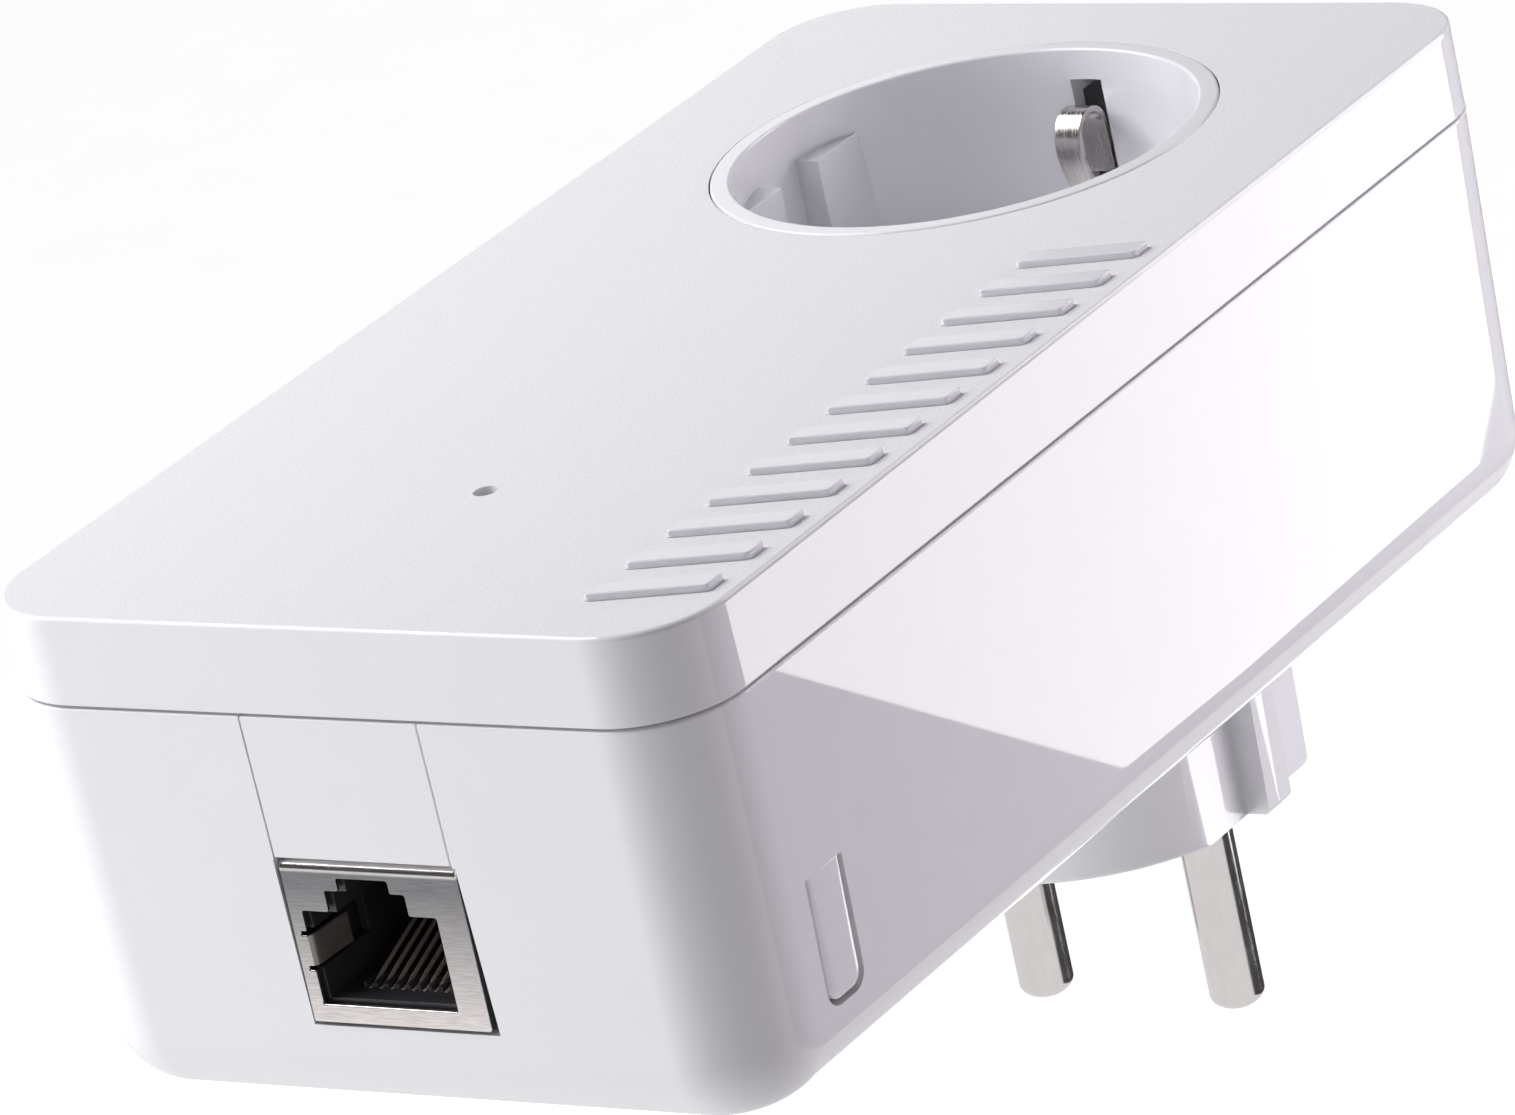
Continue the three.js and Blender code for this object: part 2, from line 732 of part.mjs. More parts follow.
function plugBody() {
  const widening = 1 + (DRAFT / PLUG_RADIUS) * FLANGE_LOW;
  const cone = new THREE.CylinderGeometry(PLUG_RADIUS * widening, PLUG_RADIUS, FLANGE_LOW, 48);
  let body = solidOf(cone.rotateX(Math.PI / 2).translate(0, 0, FLANGE_LOW / 2));
  const outside = PLUG_RADIUS + 2 * PAST;
  for (const side of [-1, 1]) {
    for (const half of [-1, 1]) {
      const x = reach(side, PLUG_FLAT, outside);
      const y = reach(half, PLUG_RIB, outside);
      body = body.subtract(box(...x, ...y, -PAST, REAR - FLAT_END_GAP));
    }
  }
  body = body.add(rod(FLANGE_RADIUS, FLANGE_LOW, FLANGE_TOP, 0, 0, 32));
  const above = FLANGE_TOP + PAST;
  const hollow = rod(HOLLOW_RADIUS, PLUG_FLOOR, above, 0, 0, 32).intersect(
    box(-HOLLOW_HALF, HOLLOW_HALF, -PLUG_RADIUS, PLUG_RADIUS, 0, above),
  );
  body = body.subtract(hollow);
  const slotHalf = EARTH_STRIP_HALF + GAP;
  for (const side of [-1, 1]) {
    body = body.add(rod(SLEEVE_RADIUS, PLUG_FLOOR - PAST, PIN_TOP - PAST, side * PIN_X, 0, 16));
    body = body.subtract(rod(PIN_RADIUS + GAP, -PAST, PIN_TOP + PAST, side * PIN_X, 0, 20));
    const y = reach(side, EARTH_STRIP_Y - GAP, EARTH_SLOT_OUTER);
    body = body.subtract(box(-slotHalf, slotHalf, ...y, PLUG_FLOOR - EARTH_SLOT_GAP, above));
  }
  return body;
}
addPart("plug_body", plugBody(), "shell");

function plugPin(x) {
  const nose = PIN_NOSE.map(([radius, height]) => [radius, height - PIN_LENGTH]);
  return turned([...nose, [PIN_RADIUS, PIN_TOP], [0, PIN_TOP]], x, 0, 16);
}
addPart("live_pin", plugPin(PIN_X), "nickel");
addPart("neutral_pin", plugPin(-PIN_X), "nickel");

function plugEarthStrip(side) {
  const y = reach(side, EARTH_STRIP_Y, EARTH_STRIP_Y + EARTH_STRIP_THICKNESS);
  return box(-EARTH_STRIP_HALF, EARTH_STRIP_HALF, ...y, PLUG_FLOOR, EARTH_STRIP_TOP);
}
addPart("plug_earth_strip_far", plugEarthStrip(1), "spring");
addPart("plug_earth_strip_near", plugEarthStrip(-1), "spring");

// Socket

function socketInsert() {
  const collarTop = COVER_INSIDE - INSERT_COLLAR_GAP;
  const profile = [
    [0, INSERT_BOTTOM],
    [INSERT_RADIUS, INSERT_BOTTOM],
    [INSERT_RADIUS, INSERT_COLLAR_LOW],
    [INSERT_COLLAR_RADIUS, INSERT_COLLAR_LOW],
    [INSERT_COLLAR_RADIUS, collarTop],
    [RING_RADIUS, collarTop],
    ...RING_PROFILE.map(([radius, height]) => [radius, FRONT + height]),
    [WELL_RADIUS, WELL_FLOOR],
    [0, WELL_FLOOR],
  ];
  let body = turned(profile, 0, 0, 48);
  const wellInside = rod(WELL_RADIUS + PAST / 2, WELL_FLOOR - PAST / 2, LUG_TOP, 0, 0, 48);
  for (const side of [-1, 1]) {
    for (const half of [-1, 1]) {
      const x = reach(side, LUG_FACE, INSERT_RADIUS);
      const y = reach(half, LUG_START, LUG_END);
      body = body.add(box(...x, ...y, WELL_FLOOR - PAST, LUG_TOP).intersect(wellInside));
    }
  }
  const below = INSERT_BOTTOM - PAST;
  for (const side of [-1, 1]) {
    const y = reach(side, SLOT_INNER, SLOT_OUTER);
    body = body.subtract(rod(PIN_HOLE_RADIUS, below, WELL_FLOOR + PAST, side * PIN_X, 0, 20));
    body = body.subtract(box(-SLOT_HALF, SLOT_HALF, ...y, below, SLOT_TOP));
  }
  return body.add(rod(POST_RADIUS, POST_END, INSERT_BOTTOM + PAST / 2, 0, 0, 12));
}
addPart("socket_insert", socketInsert(), "shell");

function earthClip(side) {
  const line = CLIP_LINE.map(([y, z]) => [side * y, z]);
  const ordered = side > 0 ? line : line.reverse();
  return prismX(stripShape(ordered, CLIP_THICKNESS, 30), -CLIP_WIDTH / 2, CLIP_WIDTH / 2);
}
addPart("earth_clip_far", earthClip(1), "spring");
addPart("earth_clip_near", earthClip(-1), "spring");

function earthBridge() {
  const x = [-BRIDGE_HALF, BRIDGE_HALF];
  const top = CLIP_ROOT[1] - PAST / 2;
  const inner = BRIDGE_REACH - BRIDGE_THICKNESS;
  return union(
    box(...x, -BRIDGE_REACH, BRIDGE_REACH, BRIDGE_Z, BRIDGE_Z + BRIDGE_THICKNESS),
    box(...x, inner, BRIDGE_REACH, BRIDGE_Z, top),
    box(...x, -BRIDGE_REACH, -inner, BRIDGE_Z, top),
  );
}
addPart("earth_bridge", earthBridge(), "brass");

function shutter() {
  const z = [SHUTTER_LOW, SHUTTER_TOP];
  const body = union(
    rod(SHUTTER_HUB, ...z, 0, 0, 16),
    box(-PIN_X, PIN_X, -SHUTTER_ARM_HALF, SHUTTER_ARM_HALF, ...z),
    rod(SHUTTER_LID, ...z, PIN_X, 0, 16),
    rod(SHUTTER_LID, ...z, -PIN_X, 0, 16),
  );
  return cut(body, rod(POST_RADIUS + SHUTTER_PLAY, SHUTTER_LOW - PAST, SHUTTER_TOP + PAST, 0, 0, 10));
}
addPart("shutter", shutter(), "shell");

function shutterSpring() {
  const line = [];
  const count = SPRING_POINTS * SPRING_TURNS;
  for (let i = 0; i <= count; i++) {
    const angle = (i / SPRING_POINTS) * 2 * Math.PI;
    const height = SPRING_LOW + (i / count) * SPRING_HEIGHT;
    line.push([SPRING_RADIUS * Math.cos(angle), SPRING_RADIUS * Math.sin(angle), height]);
  }
  return wire(line, SPRING_WIRE, 24, 3);
}
addPart("shutter_spring", shutterSpring(), "spring");

function shutterRetainer() {
  return cut(
    rod(RETAINER_RADIUS, RETAINER_LOW, RETAINER_HIGH, 0, 0, 14),
    rod(POST_RADIUS + GAP, RETAINER_LOW - PAST, RETAINER_HIGH + PAST, 0, 0, 10),
  );
}
addPart("shutter_retainer", shutterRetainer(), "spring");

function pinContact(side) {
  const centre = side * PIN_X;
  const x = side > 0 ? [centre, centre + CONTACT_SLIT_DEPTH] : [centre - CONTACT_SLIT_DEPTH, centre];
  const boreLow = CONTACT_LOW + PAST;
  const above = CONTACT_TOP + PAST;
  return cut(
    rod(CONTACT_RADIUS, CONTACT_LOW, CONTACT_TOP, centre, 0, 16),
    rod(CONTACT_BORE, boreLow, above, centre, 0, 16),
    box(...x, -CONTACT_SLIT_HALF, CONTACT_SLIT_HALF, boreLow, above),
  );
}
addPart("live_contact", pinContact(1), "brass");
addPart("neutral_contact", pinContact(-1), "brass");

function busbar(side) {
  const x = [side * PIN_X - BUSBAR_HALF, side * PIN_X + BUSBAR_HALF];
  return union(
    box(...x, -BUSBAR_HALF, BUSBAR_HALF, PIN_TOP + GAP, BUSBAR_TOP),
    box(...x, BUSBAR_END_Y, BUSBAR_HALF, BUSBAR_TOP - BUSBAR_THICKNESS, BUSBAR_TOP),
  );
}
addPart("live_busbar", busbar(1), "brass");
addPart("neutral_busbar", busbar(-1), "brass");

function contactCarrier() {
  let body = rod(CARRIER_RADIUS, CARRIER_LOW, CARRIER_TOP, 0, 0, 28);
  const half = CARRIER_FOOT_HALF;
  for (const x of [-CARRIER_FOOT, CARRIER_FOOT]) {
    for (const y of [-CARRIER_FOOT, CARRIER_FOOT]) {
      const foot = box(x - half, x + half, y - half, y + half, CARRIER_TOP - PAST, INSERT_BOTTOM - GAP);
      body = body.add(foot);
    }
  }
  for (const x of [PIN_X, -PIN_X]) {
    body = body.subtract(rod(CARRIER_HOLE, CARRIER_LOW - PAST, CARRIER_TOP + PAST, x, 0, 16));
  }
  return body;
}
addPart("contact_carrier", contactCarrier(), "black");

// Pairing button and its switch

function pairingButton() {
  const tongue = buttonPrism(0).intersect(cut(outerShell, innerShell));
  const y = [BUTTON_Y - NIB_HALF_WIDTH, BUTTON_Y + NIB_HALF_WIDTH];
  return tongue.add(
    box(NIB_INNER_X, NIB_OUTER_X, ...y, PLUNGER_Z - NIB_HALF_HEIGHT, PLUNGER_Z + NIB_HALF_HEIGHT),
  );
}
addPart("pairing_button", pairingButton(), "shell");

function tactSwitch() {
  const y = [BUTTON_Y - SWITCH_HALF, BUTTON_Y + SWITCH_HALF];
  return cut(
    box(SWITCH_INNER_X, SWITCH_OUTER_X, ...y, ON_BOARD, ON_BOARD + SWITCH_HEIGHT),
    rodAlongX(SWITCH_BORE, SWITCH_BORE_X, SWITCH_OUTER_X + PAST, BUTTON_Y, PLUNGER_Z),
  );
}
addPart("tact_switch", tactSwitch(), "black");

const plunger = rodAlongX(PLUNGER_RADIUS, PLUNGER_INNER_X, PLUNGER_OUTER_X, BUTTON_Y, PLUNGER_Z);
addPart("tact_plunger", plunger, "grey");

// Network jack

// The mouth's stepped outline, drawn in (x, z)
function mouthOutline() {
  const left = MOUTH_HALF.map(([x, z]) => [-x, z]).reverse();
  return polygon([...MOUTH_HALF, ...left].map(([x, z]) => [x + PORT_X, z]));
}

function jackShield() {
  const half = JACK_HALF - SHIELD_WALL;
  const y = [JACK_FACE + SHIELD_WALL, JACK_BACK - SHIELD_WALL];
  const shell = cut(
    box(-JACK_HALF, JACK_HALF, JACK_FACE, JACK_BACK, JACK_BOTTOM, JACK_TOP),
    box(-half, half, ...y, JACK_BOTTOM - PAST, JACK_TOP - SHIELD_WALL),
    prismY(mouthOutline(), JACK_FACE - PAST, JACK_FACE + PAST),
  );
  return shell.add(box(TAB_OUTER_X, TAB_INNER_X, JACK_FACE, JACK_FACE + TAB_REACH, TAB_LOW, TAB_HIGH));
}
addPart("jack_shield", jackShield(), "aluminium");

function jackBody() {
  const lining = SHIELD_WALL + GAP;
  const half = JACK_HALF - lining;
  const front = JACK_FACE + lining;
  const pocketY = [front - PAST, JACK_FACE + POCKET_DEPTH];
  return cut(
    box(-half, half, front, JACK_BACK - lining, JACK_BOTTOM + BODY_LIFT, JACK_TOP - lining),
    prismY(mouthOutline(), front - PAST, front + CAVITY_DEPTH),
    box(-half - PAST, POCKET_X, ...pocketY, TAB_LOW - POCKET_GAP, TAB_HIGH + POCKET_GAP),
  );
}
addPart("jack_body", jackBody(), "black");

function jackWire(index) {
  const x = PORT_X + (index - (WIRE_COUNT - 1) / 2) * WIRE_PITCH;
  const line = WIRE_LINE.map(([y, z]) => [x, JACK_FACE + y, PORT_BOTTOM + z]);
  return wire(line, WIRE_RADIUS, 8, 3);
}
for (let i = 0; i < WIRE_COUNT; i++) {
  addPart(`jack_wire_${i + 1}`, jackWire(i), "nickel");
}

// Circuit board and what it carries

function mainBoard() {
  const outline = roundedRect(-BOARD_HALF, BOARD_HALF, BOARD_NEAR_Y, BOARD_FAR_Y, BOARD_CORNER);
  let board = prism(outline, BOARD_LOW, BOARD_TOP, 4);
  SCREW_PLACES.slice(0, 2).forEach(([x, y]) => {
    board = board.subtract(rod(COLUMN_RADIUS + GAP, BOARD_LOW - PAST, BOARD_TOP + PAST, x, y, 20));
  });
  return board;
}
addPart("main_board", mainBoard(), "board");

for (const [name, [x0, x1, y0, y1, top, finish]] of Object.entries(BOXED_COMPONENTS)) {
  addPart(name, box(x0, x1, y0, y1, ON_BOARD, top), finish);
}

function heatSink() {
  const y = [SINK_NEAR_Y, SINK_FAR_Y];
  let body = box(SINK_OUTER_X, SINK_INNER_X, ...y, SINK_LOW, SINK_PLATE_TOP);
  for (let i = 0; i < FIN_COUNT; i++) {
    const x = SINK_OUTER_X + i * FIN_PITCH;
    body = body.add(box(x, x + FIN_THICKNESS, ...y, SINK_PLATE_TOP - GAP, SINK_TOP));
  }
  return body;
}
addPart("heat_sink", heatSink(), "aluminium");

function crystal() {
  const { x0, x1, y0, y1, corner, height } = CRYSTAL;
  return prism(roundedRect(x0, x1, y0, y1, corner), ON_BOARD, ON_BOARD + height, 4);
}
addPart("clock_crystal", crystal(), "aluminium");

function supplyCore() {
  const { half, low, top } = CORE_WINDOW;
  return cut(
    box(-CORE.half, CORE.half, CORE.y0, CORE.y1, ON_BOARD, CORE.top),
    box(-half, half, CORE_WINDOW.y0, CORE_WINDOW.y1, low, top),
  );
}
addPart("supply_transformer_core", supplyCore(), "ferrite");

const coil = box(-COIL.half, COIL.half, COIL.y0, COIL.y1, COIL.low, COIL.top);
addPart("supply_transformer_coil", coil, "yellow");

const varistor = rodAlongY(VARISTOR.radius, VARISTOR.y0, VARISTOR.y1, VARISTOR.x, VARISTOR.z);
addPart("varistor", varistor, "blue");

addPart("fuse", rod(FUSE.radius, ON_BOARD, FUSE.top, FUSE.x, FUSE.y, 20), "black");

function canCapacitor(radius, top, x, y) {
  const bead = ON_BOARD + CAN_BEAD_LOW;
  const profile = [
    [0, ON_BOARD],
    [radius, ON_BOARD],
    [radius, bead],
    [radius - CAN_BEAD_DEPTH, bead + CAN_BEAD_PITCH],
    [radius, bead + 2 * CAN_BEAD_PITCH],
    [radius, top - CAN_EDGE],
    [radius - CAN_EDGE, top],
    [0, top],
  ];
  return turned(profile, x, y, 12);
}
for (const [name, [radius, top, x, y]] of Object.entries(CAN_CAPACITORS)) {
  addPart(name, canCapacitor(radius, top, x, y), "black");
}

function filterChoke() {
  const torus = new THREE.TorusGeometry(CHOKE.radius, CHOKE.wire, 6, 16);
  return solidOf(torus.translate(CHOKE.x, CHOKE.y, ON_BOARD + CHOKE.lift));
}
addPart("filter_choke", filterChoke(), "copper");

export default group;
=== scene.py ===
import json
import math

import bmesh
import bpy
from mathutils import Matrix, Vector

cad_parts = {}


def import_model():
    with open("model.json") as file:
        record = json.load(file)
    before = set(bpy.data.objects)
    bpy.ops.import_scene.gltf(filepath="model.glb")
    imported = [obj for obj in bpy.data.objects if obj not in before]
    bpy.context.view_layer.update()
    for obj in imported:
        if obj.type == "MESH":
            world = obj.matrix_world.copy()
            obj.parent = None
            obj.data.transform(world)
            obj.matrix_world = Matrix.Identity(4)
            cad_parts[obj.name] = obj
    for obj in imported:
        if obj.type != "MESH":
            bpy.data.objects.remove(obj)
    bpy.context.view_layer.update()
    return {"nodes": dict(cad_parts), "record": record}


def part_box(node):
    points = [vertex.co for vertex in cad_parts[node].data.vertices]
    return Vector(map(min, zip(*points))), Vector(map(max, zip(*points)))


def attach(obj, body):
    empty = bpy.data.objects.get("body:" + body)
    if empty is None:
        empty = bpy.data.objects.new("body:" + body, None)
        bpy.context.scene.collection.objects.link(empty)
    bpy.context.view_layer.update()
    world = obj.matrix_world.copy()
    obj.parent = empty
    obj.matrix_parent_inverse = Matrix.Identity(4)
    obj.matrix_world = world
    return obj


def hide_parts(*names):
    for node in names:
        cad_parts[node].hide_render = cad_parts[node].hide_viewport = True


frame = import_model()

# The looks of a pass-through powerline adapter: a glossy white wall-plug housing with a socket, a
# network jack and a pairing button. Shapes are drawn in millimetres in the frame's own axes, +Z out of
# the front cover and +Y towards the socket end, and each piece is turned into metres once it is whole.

MM = 0.001


def span(node):
    """A frame node's lowest and highest corners, in millimetres."""
    low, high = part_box(node)
    return low / MM, high / MM


# Places read from the frame
cover_low, cover_high = span("front_cover")
shell_low, shell_high = span("rear_housing")
pin_low, pin_high = span("live_pin")
insert_low = span("socket_insert")[0]
jack_low, jack_high = span("jack_shield")
jack_body_low, jack_body_high = span("jack_body")
button_low, button_high = span("pairing_button")
label_low, label_high = span("rating_label")
bars_low, bars_high = span("trim_bars")
guide_low, guide_high = span("light_guide")
panel_low, panel_high = span("port_filler_panel")
strip_low = span("plug_earth_strip_far")[0]
clip_low, clip_high = span("earth_clip_far")

HALF_WIDTH = cover_high.x
NEAR_END = cover_low.y
FAR_END = cover_high.y
MID_Y = (NEAR_END + FAR_END) / 2
HALF_LENGTH = (FAR_END - NEAR_END) / 2
FRONT = cover_high.z
REAR = shell_low.z
LIP_TOP = shell_high.z

# Enclosure
LIP_HEIGHT = 2.4
SEAM = 0.45
SHOWN_SEAM = 0.24
RIM_EDGE = 0.2
RIM = LIP_TOP - LIP_HEIGHT
COVER_BOTTOM = RIM + SEAM
WALL = 2.0
CORNER_RADIUS = 8.4
REAR_FILLET = 6.0
DRAFT = 0.022
COVER_PLATE = 2.2
TOP_EDGE = 0.45
FINE_EDGE = 0.14
CORNER_STEPS = 20
FILLET_STEPS = 14
ROUND_STEPS = 160

# Socket
WELL_RADIUS = 19.5
WELL_DEPTH = 17.5
RING_RADIUS = 21.4
LUG_FACE = 17.0
LUG_START = 2.95
LUG_END = 11.5
LUG_TOP = 56.6
SLOT_HALF = 1.5
SLOT_TOP = 57.4

# Plug
PIN_X = (pin_low.x + pin_high.x) / 2
PIN_RADIUS = (pin_high.x - pin_low.x) / 2
PLUG_RADIUS = 17.7
PLUG_FLAT = 15.4
PLUG_RIB = 1.9
FLANGE_LOW = REAR + WALL + 0.35

# Jack
PORT_X = -0.7
PORT_BOTTOM = 28.0
PORT_HALF = 6.3
TAB_LOW = 31.2
TAB_HIGH = 33.8
WIRE_PITCH = 1.02
WIRE_COUNT = 8

# Pairing button
BUTTON_Y = (button_low.y + button_high.y) / 2
BUTTON_HALF = (button_high.y - button_low.y) / 2
BUTTON_BASE = button_low.z
BUTTON_TOP = button_high.z
BUTTON_SLOT = 0.5

# Bars along the +X edge of the cover
BAR_COUNT = 12
BAR_PITCH = 5.9
BAR_WIDTH = 2.3
BAR_LEAN = 2.6
BAR_CORNER = 0.4
BAR_GAP = 0.07

SCREWS = {f"case_screw_{i}": span(f"case_screw_{i}") for i in range(1, 5)}


# Outlines, as lists of points


def arc(centre, radius, start, end, steps):
    """Points along an arc in degrees, both ends included."""
    points = []
    for i in range(steps + 1):
        angle = math.radians(start + (end - start) * i / steps)
        points.append((centre[0] + radius * math.cos(angle), centre[1] + radius * math.sin(angle)))
    return points


def rounded_rect(a0, a1, b0, b1, radius, steps=8):
    """A rectangle with rounded corners, counter-clockwise."""
    return [
        *arc((a1 - radius, b0 + radius), radius, -90, 0, steps),
        *arc((a1 - radius, b1 - radius), radius, 0, 90, steps),
        *arc((a0 + radius, b1 - radius), radius, 90, 180, steps),
        *arc((a0 + radius, b0 + radius), radius, 180, 270, steps),
    ]


def softened(corners, radius, steps=4):
    """A polygon whose corners are turned into short curves of about this radius."""
    points = []
    for i, corner in enumerate(corners):
        here = Vector(corner)
        before = (Vector(corners[i - 1]) - here).normalized() * radius
        after = (Vector(corners[(i + 1) % len(corners)]) - here).normalized() * radius
        for k in range(steps + 1):
            t = k / steps
            points.append(tuple(here + before * (1 - t) ** 2 + after * t**2))
    return points


def spline(points, steps):
    """A smooth line through the points, with the same number of steps between each pair."""
    line = [Vector(p) for p in points]
    line = [2 * line[0] - line[1], *line, 2 * line[-1] - line[-2]]
    smooth = []
    for a, b, c, d in zip(line, line[1:], line[2:], line[3:]):
        for k in range(steps):
            t = k / steps
            smooth.append(
                0.5 * (2 * b + (c - a) * t + (2 * a - 5 * b + 4 * c - d) * t**2
                       + (3 * b - a - 3 * c + d) * t**3)
            )
    return [*smooth, line[-2]]


def body_ring(inset, z):
    """The body's plan outline at one height. Below the rim the sides lean in."""
    lean = DRAFT * max(0.0, RIM - z)
    half = HALF_WIDTH - inset
    outline = rounded_rect(
        -half, half, NEAR_END + inset, FAR_END - inset, max(CORNER_RADIUS - inset, 0.4), CORNER_STEPS
    )
    return [
        (x * (1 - lean / HALF_WIDTH), MID_Y + (y - MID_Y) * (1 - lean / HALF_LENGTH), z)
        for x, y in outline
    ]


def heading(line, i):
    """The direction of a line of points at one of them."""
    return (line[min(i + 1, len(line) - 1)] - line[max(i - 1, 0)]).normalized()


def ribbon(line, thickness):
    """The outline of a strip of even thickness along a flat line."""
    left, right = [], []
    for i, here in enumerate(line):
        along = heading(line, i)
        across = Vector((-along.y, along.x)) * thickness / 2
        left.append(tuple(here + across))
        right.append(tuple(here - across))
    return [*left, *reversed(right)]


def upright_axis(low, high):
    """The (x, y) of the upright line through the middle of a box."""
    return (low.x + high.x) / 2, (low.y + high.y) / 2


# Solids


def new_object(name, points, faces):
    mesh = bpy.data.meshes.new(name)
    mesh.from_pydata(points, [], faces)
    made = bpy.data.objects.new(name, mesh)
    bpy.context.scene.collection.objects.link(made)
    clean(made)
    return made


def clean(obj, distance=1e-4):
    """Merges points this close together and turns all faces outwards."""
    work = bmesh.new()
    work.from_mesh(obj.data)
    bmesh.ops.remove_doubles(work, verts=work.verts, dist=distance)
    bmesh.ops.dissolve_degenerate(work, edges=work.edges, dist=distance)
    bmesh.ops.recalc_face_normals(work, faces=work.faces)
    work.to_mesh(obj.data)
    work.free()


def side_faces(rings):
    """Four-sided faces between each ring of points and the next."""
    count = len(rings[0])
    faces = []
    for r in range(len(rings) - 1):
        for i in range(count):
            j = (i + 1) % count
            low, high = r * count, (r + 1) * count
            faces.append((low + i, low + j, high + j, high + i))
    return faces


def loft(name, rings):
    """A closed solid through rings of the same number of points, with flat ends."""
    count = len(rings[0])
    points = [p for ring in rings for p in ring]
    ends = [tuple(range(count)), tuple(range(len(points) - count, len(points)))]
    return new_object(name, points, ends + side_faces(rings))


def turned(name, profile, x=0.0, y=0.0, steps=ROUND_STEPS):
    """A solid of revolution about a line along Z. The profile is (radius, z) from axis to axis."""
    rings = []
    for radius, z in profile:
        rings.append([(x + a, y + b, z) for a, b in arc((0, 0), max(radius, 0), 0, 360, steps)[:-1]])
    return new_object(name, [p for ring in rings for p in ring], side_faces(rings))


def extruded(name, outline, low, high, axis="Z"):
    """An outline drawn in the plane across an axis, between two places along it."""
    place = {
        "X": lambda a, b, h: (h, a, b),
        "Y": lambda a, b, h: (a, h, b),
        "Z": lambda a, b, h: (a, b, h),
    }[axis]
    return loft(name, [[place(a, b, h) for a, b in outline] for h in (low, high)])


def block(name, x0, x1, y0, y1, z0, z1):
    return extruded(name, [(x0, y0), (x1, y0), (x1, y1), (x0, y1)], z0, z1)


def rod(name, radius, low, high, x=0.0, y=0.0, steps=ROUND_STEPS):
    return turned(name, [(0, low), (radius, low), (radius, high), (0, high)], x, y, steps)


def tube(name, line, radius, sides=12):
    """A round wire along a smooth line, with closed ends."""
    rings = []
    for i, here in enumerate(line):
        along = heading(line, i)
        across = along.cross(Vector((1, 0, 0))).normalized()
        side = along.cross(across)
        rings.append([here + across * a + side * b for a, b in arc((0, 0), radius, 0, 360, sides)[:-1]])
    return loft(name, rings)


def apply_modifiers(obj):
    depsgraph = bpy.context.evaluated_depsgraph_get()
    made = bpy.data.meshes.new_from_object(obj.evaluated_get(depsgraph))
    old = obj.data
    obj.modifiers.clear()
    obj.data = made
    bpy.data.meshes.remove(old)


def combine(obj, operation, tools):
    """Joins or cuts with each tool in turn, and uses the tools up."""
    for tool in tools:
        modifier = obj.modifiers.new("combine", "BOOLEAN")
        modifier.operation = operation
        modifier.solver = "EXACT"
        modifier.object = tool
        apply_modifiers(obj)
        bpy.data.objects.remove(tool)
    clean(obj, 1e-3)
    return obj


def cut(obj, *tools):
    return combine(obj, "DIFFERENCE", tools)


def join(obj, *tools):
    return combine(obj, "UNION", tools)


def common(obj, tool):
    return combine(obj, "INTERSECT", [tool])


def round_edges(obj, width, segments=3, angle=38, clamp=True):
    """Rounds every edge that turns by more than the angle, in degrees.

    Clamping keeps the rounding narrower than the shortest edge beside it.
    """
    modifier = obj.modifiers.new("edges", "BEVEL")
    modifier.width = width
    modifier.segments = segments
    modifier.limit_method = "ANGLE"
    modifier.angle_limit = math.radians(angle)
    modifier.use_clamp_overlap = clamp
    modifier.miter_outer = "MITER_ARC"
    apply_modifiers(obj)
    return obj


def place(obj, body, slot, *nodes, finish=None, second=None, second_where=None):
    """Turns a whole piece into metres, shades it smooth and hangs it in the frame."""
    obj.data.transform(Matrix.Scale(MM, 4))
    mesh = obj.data
    mesh.materials.clear()
    mesh.materials.append(finish)
    if second is not None:
        mesh.materials.append(second)
        for face in mesh.polygons:
            face.material_index = int(second_where(face))
    mesh.polygons.foreach_set("use_smooth", [True] * len(mesh.polygons))
    mesh.set_sharp_from_angle(angle=math.radians(42))
    normals = obj.modifiers.new("normals", "WEIGHTED_NORMAL")
    normals.keep_sharp = True
    normals.weight = 90
    apply_modifiers(obj)
    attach(obj, body)
    if nodes:
        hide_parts(*nodes)
    return obj


# Materials


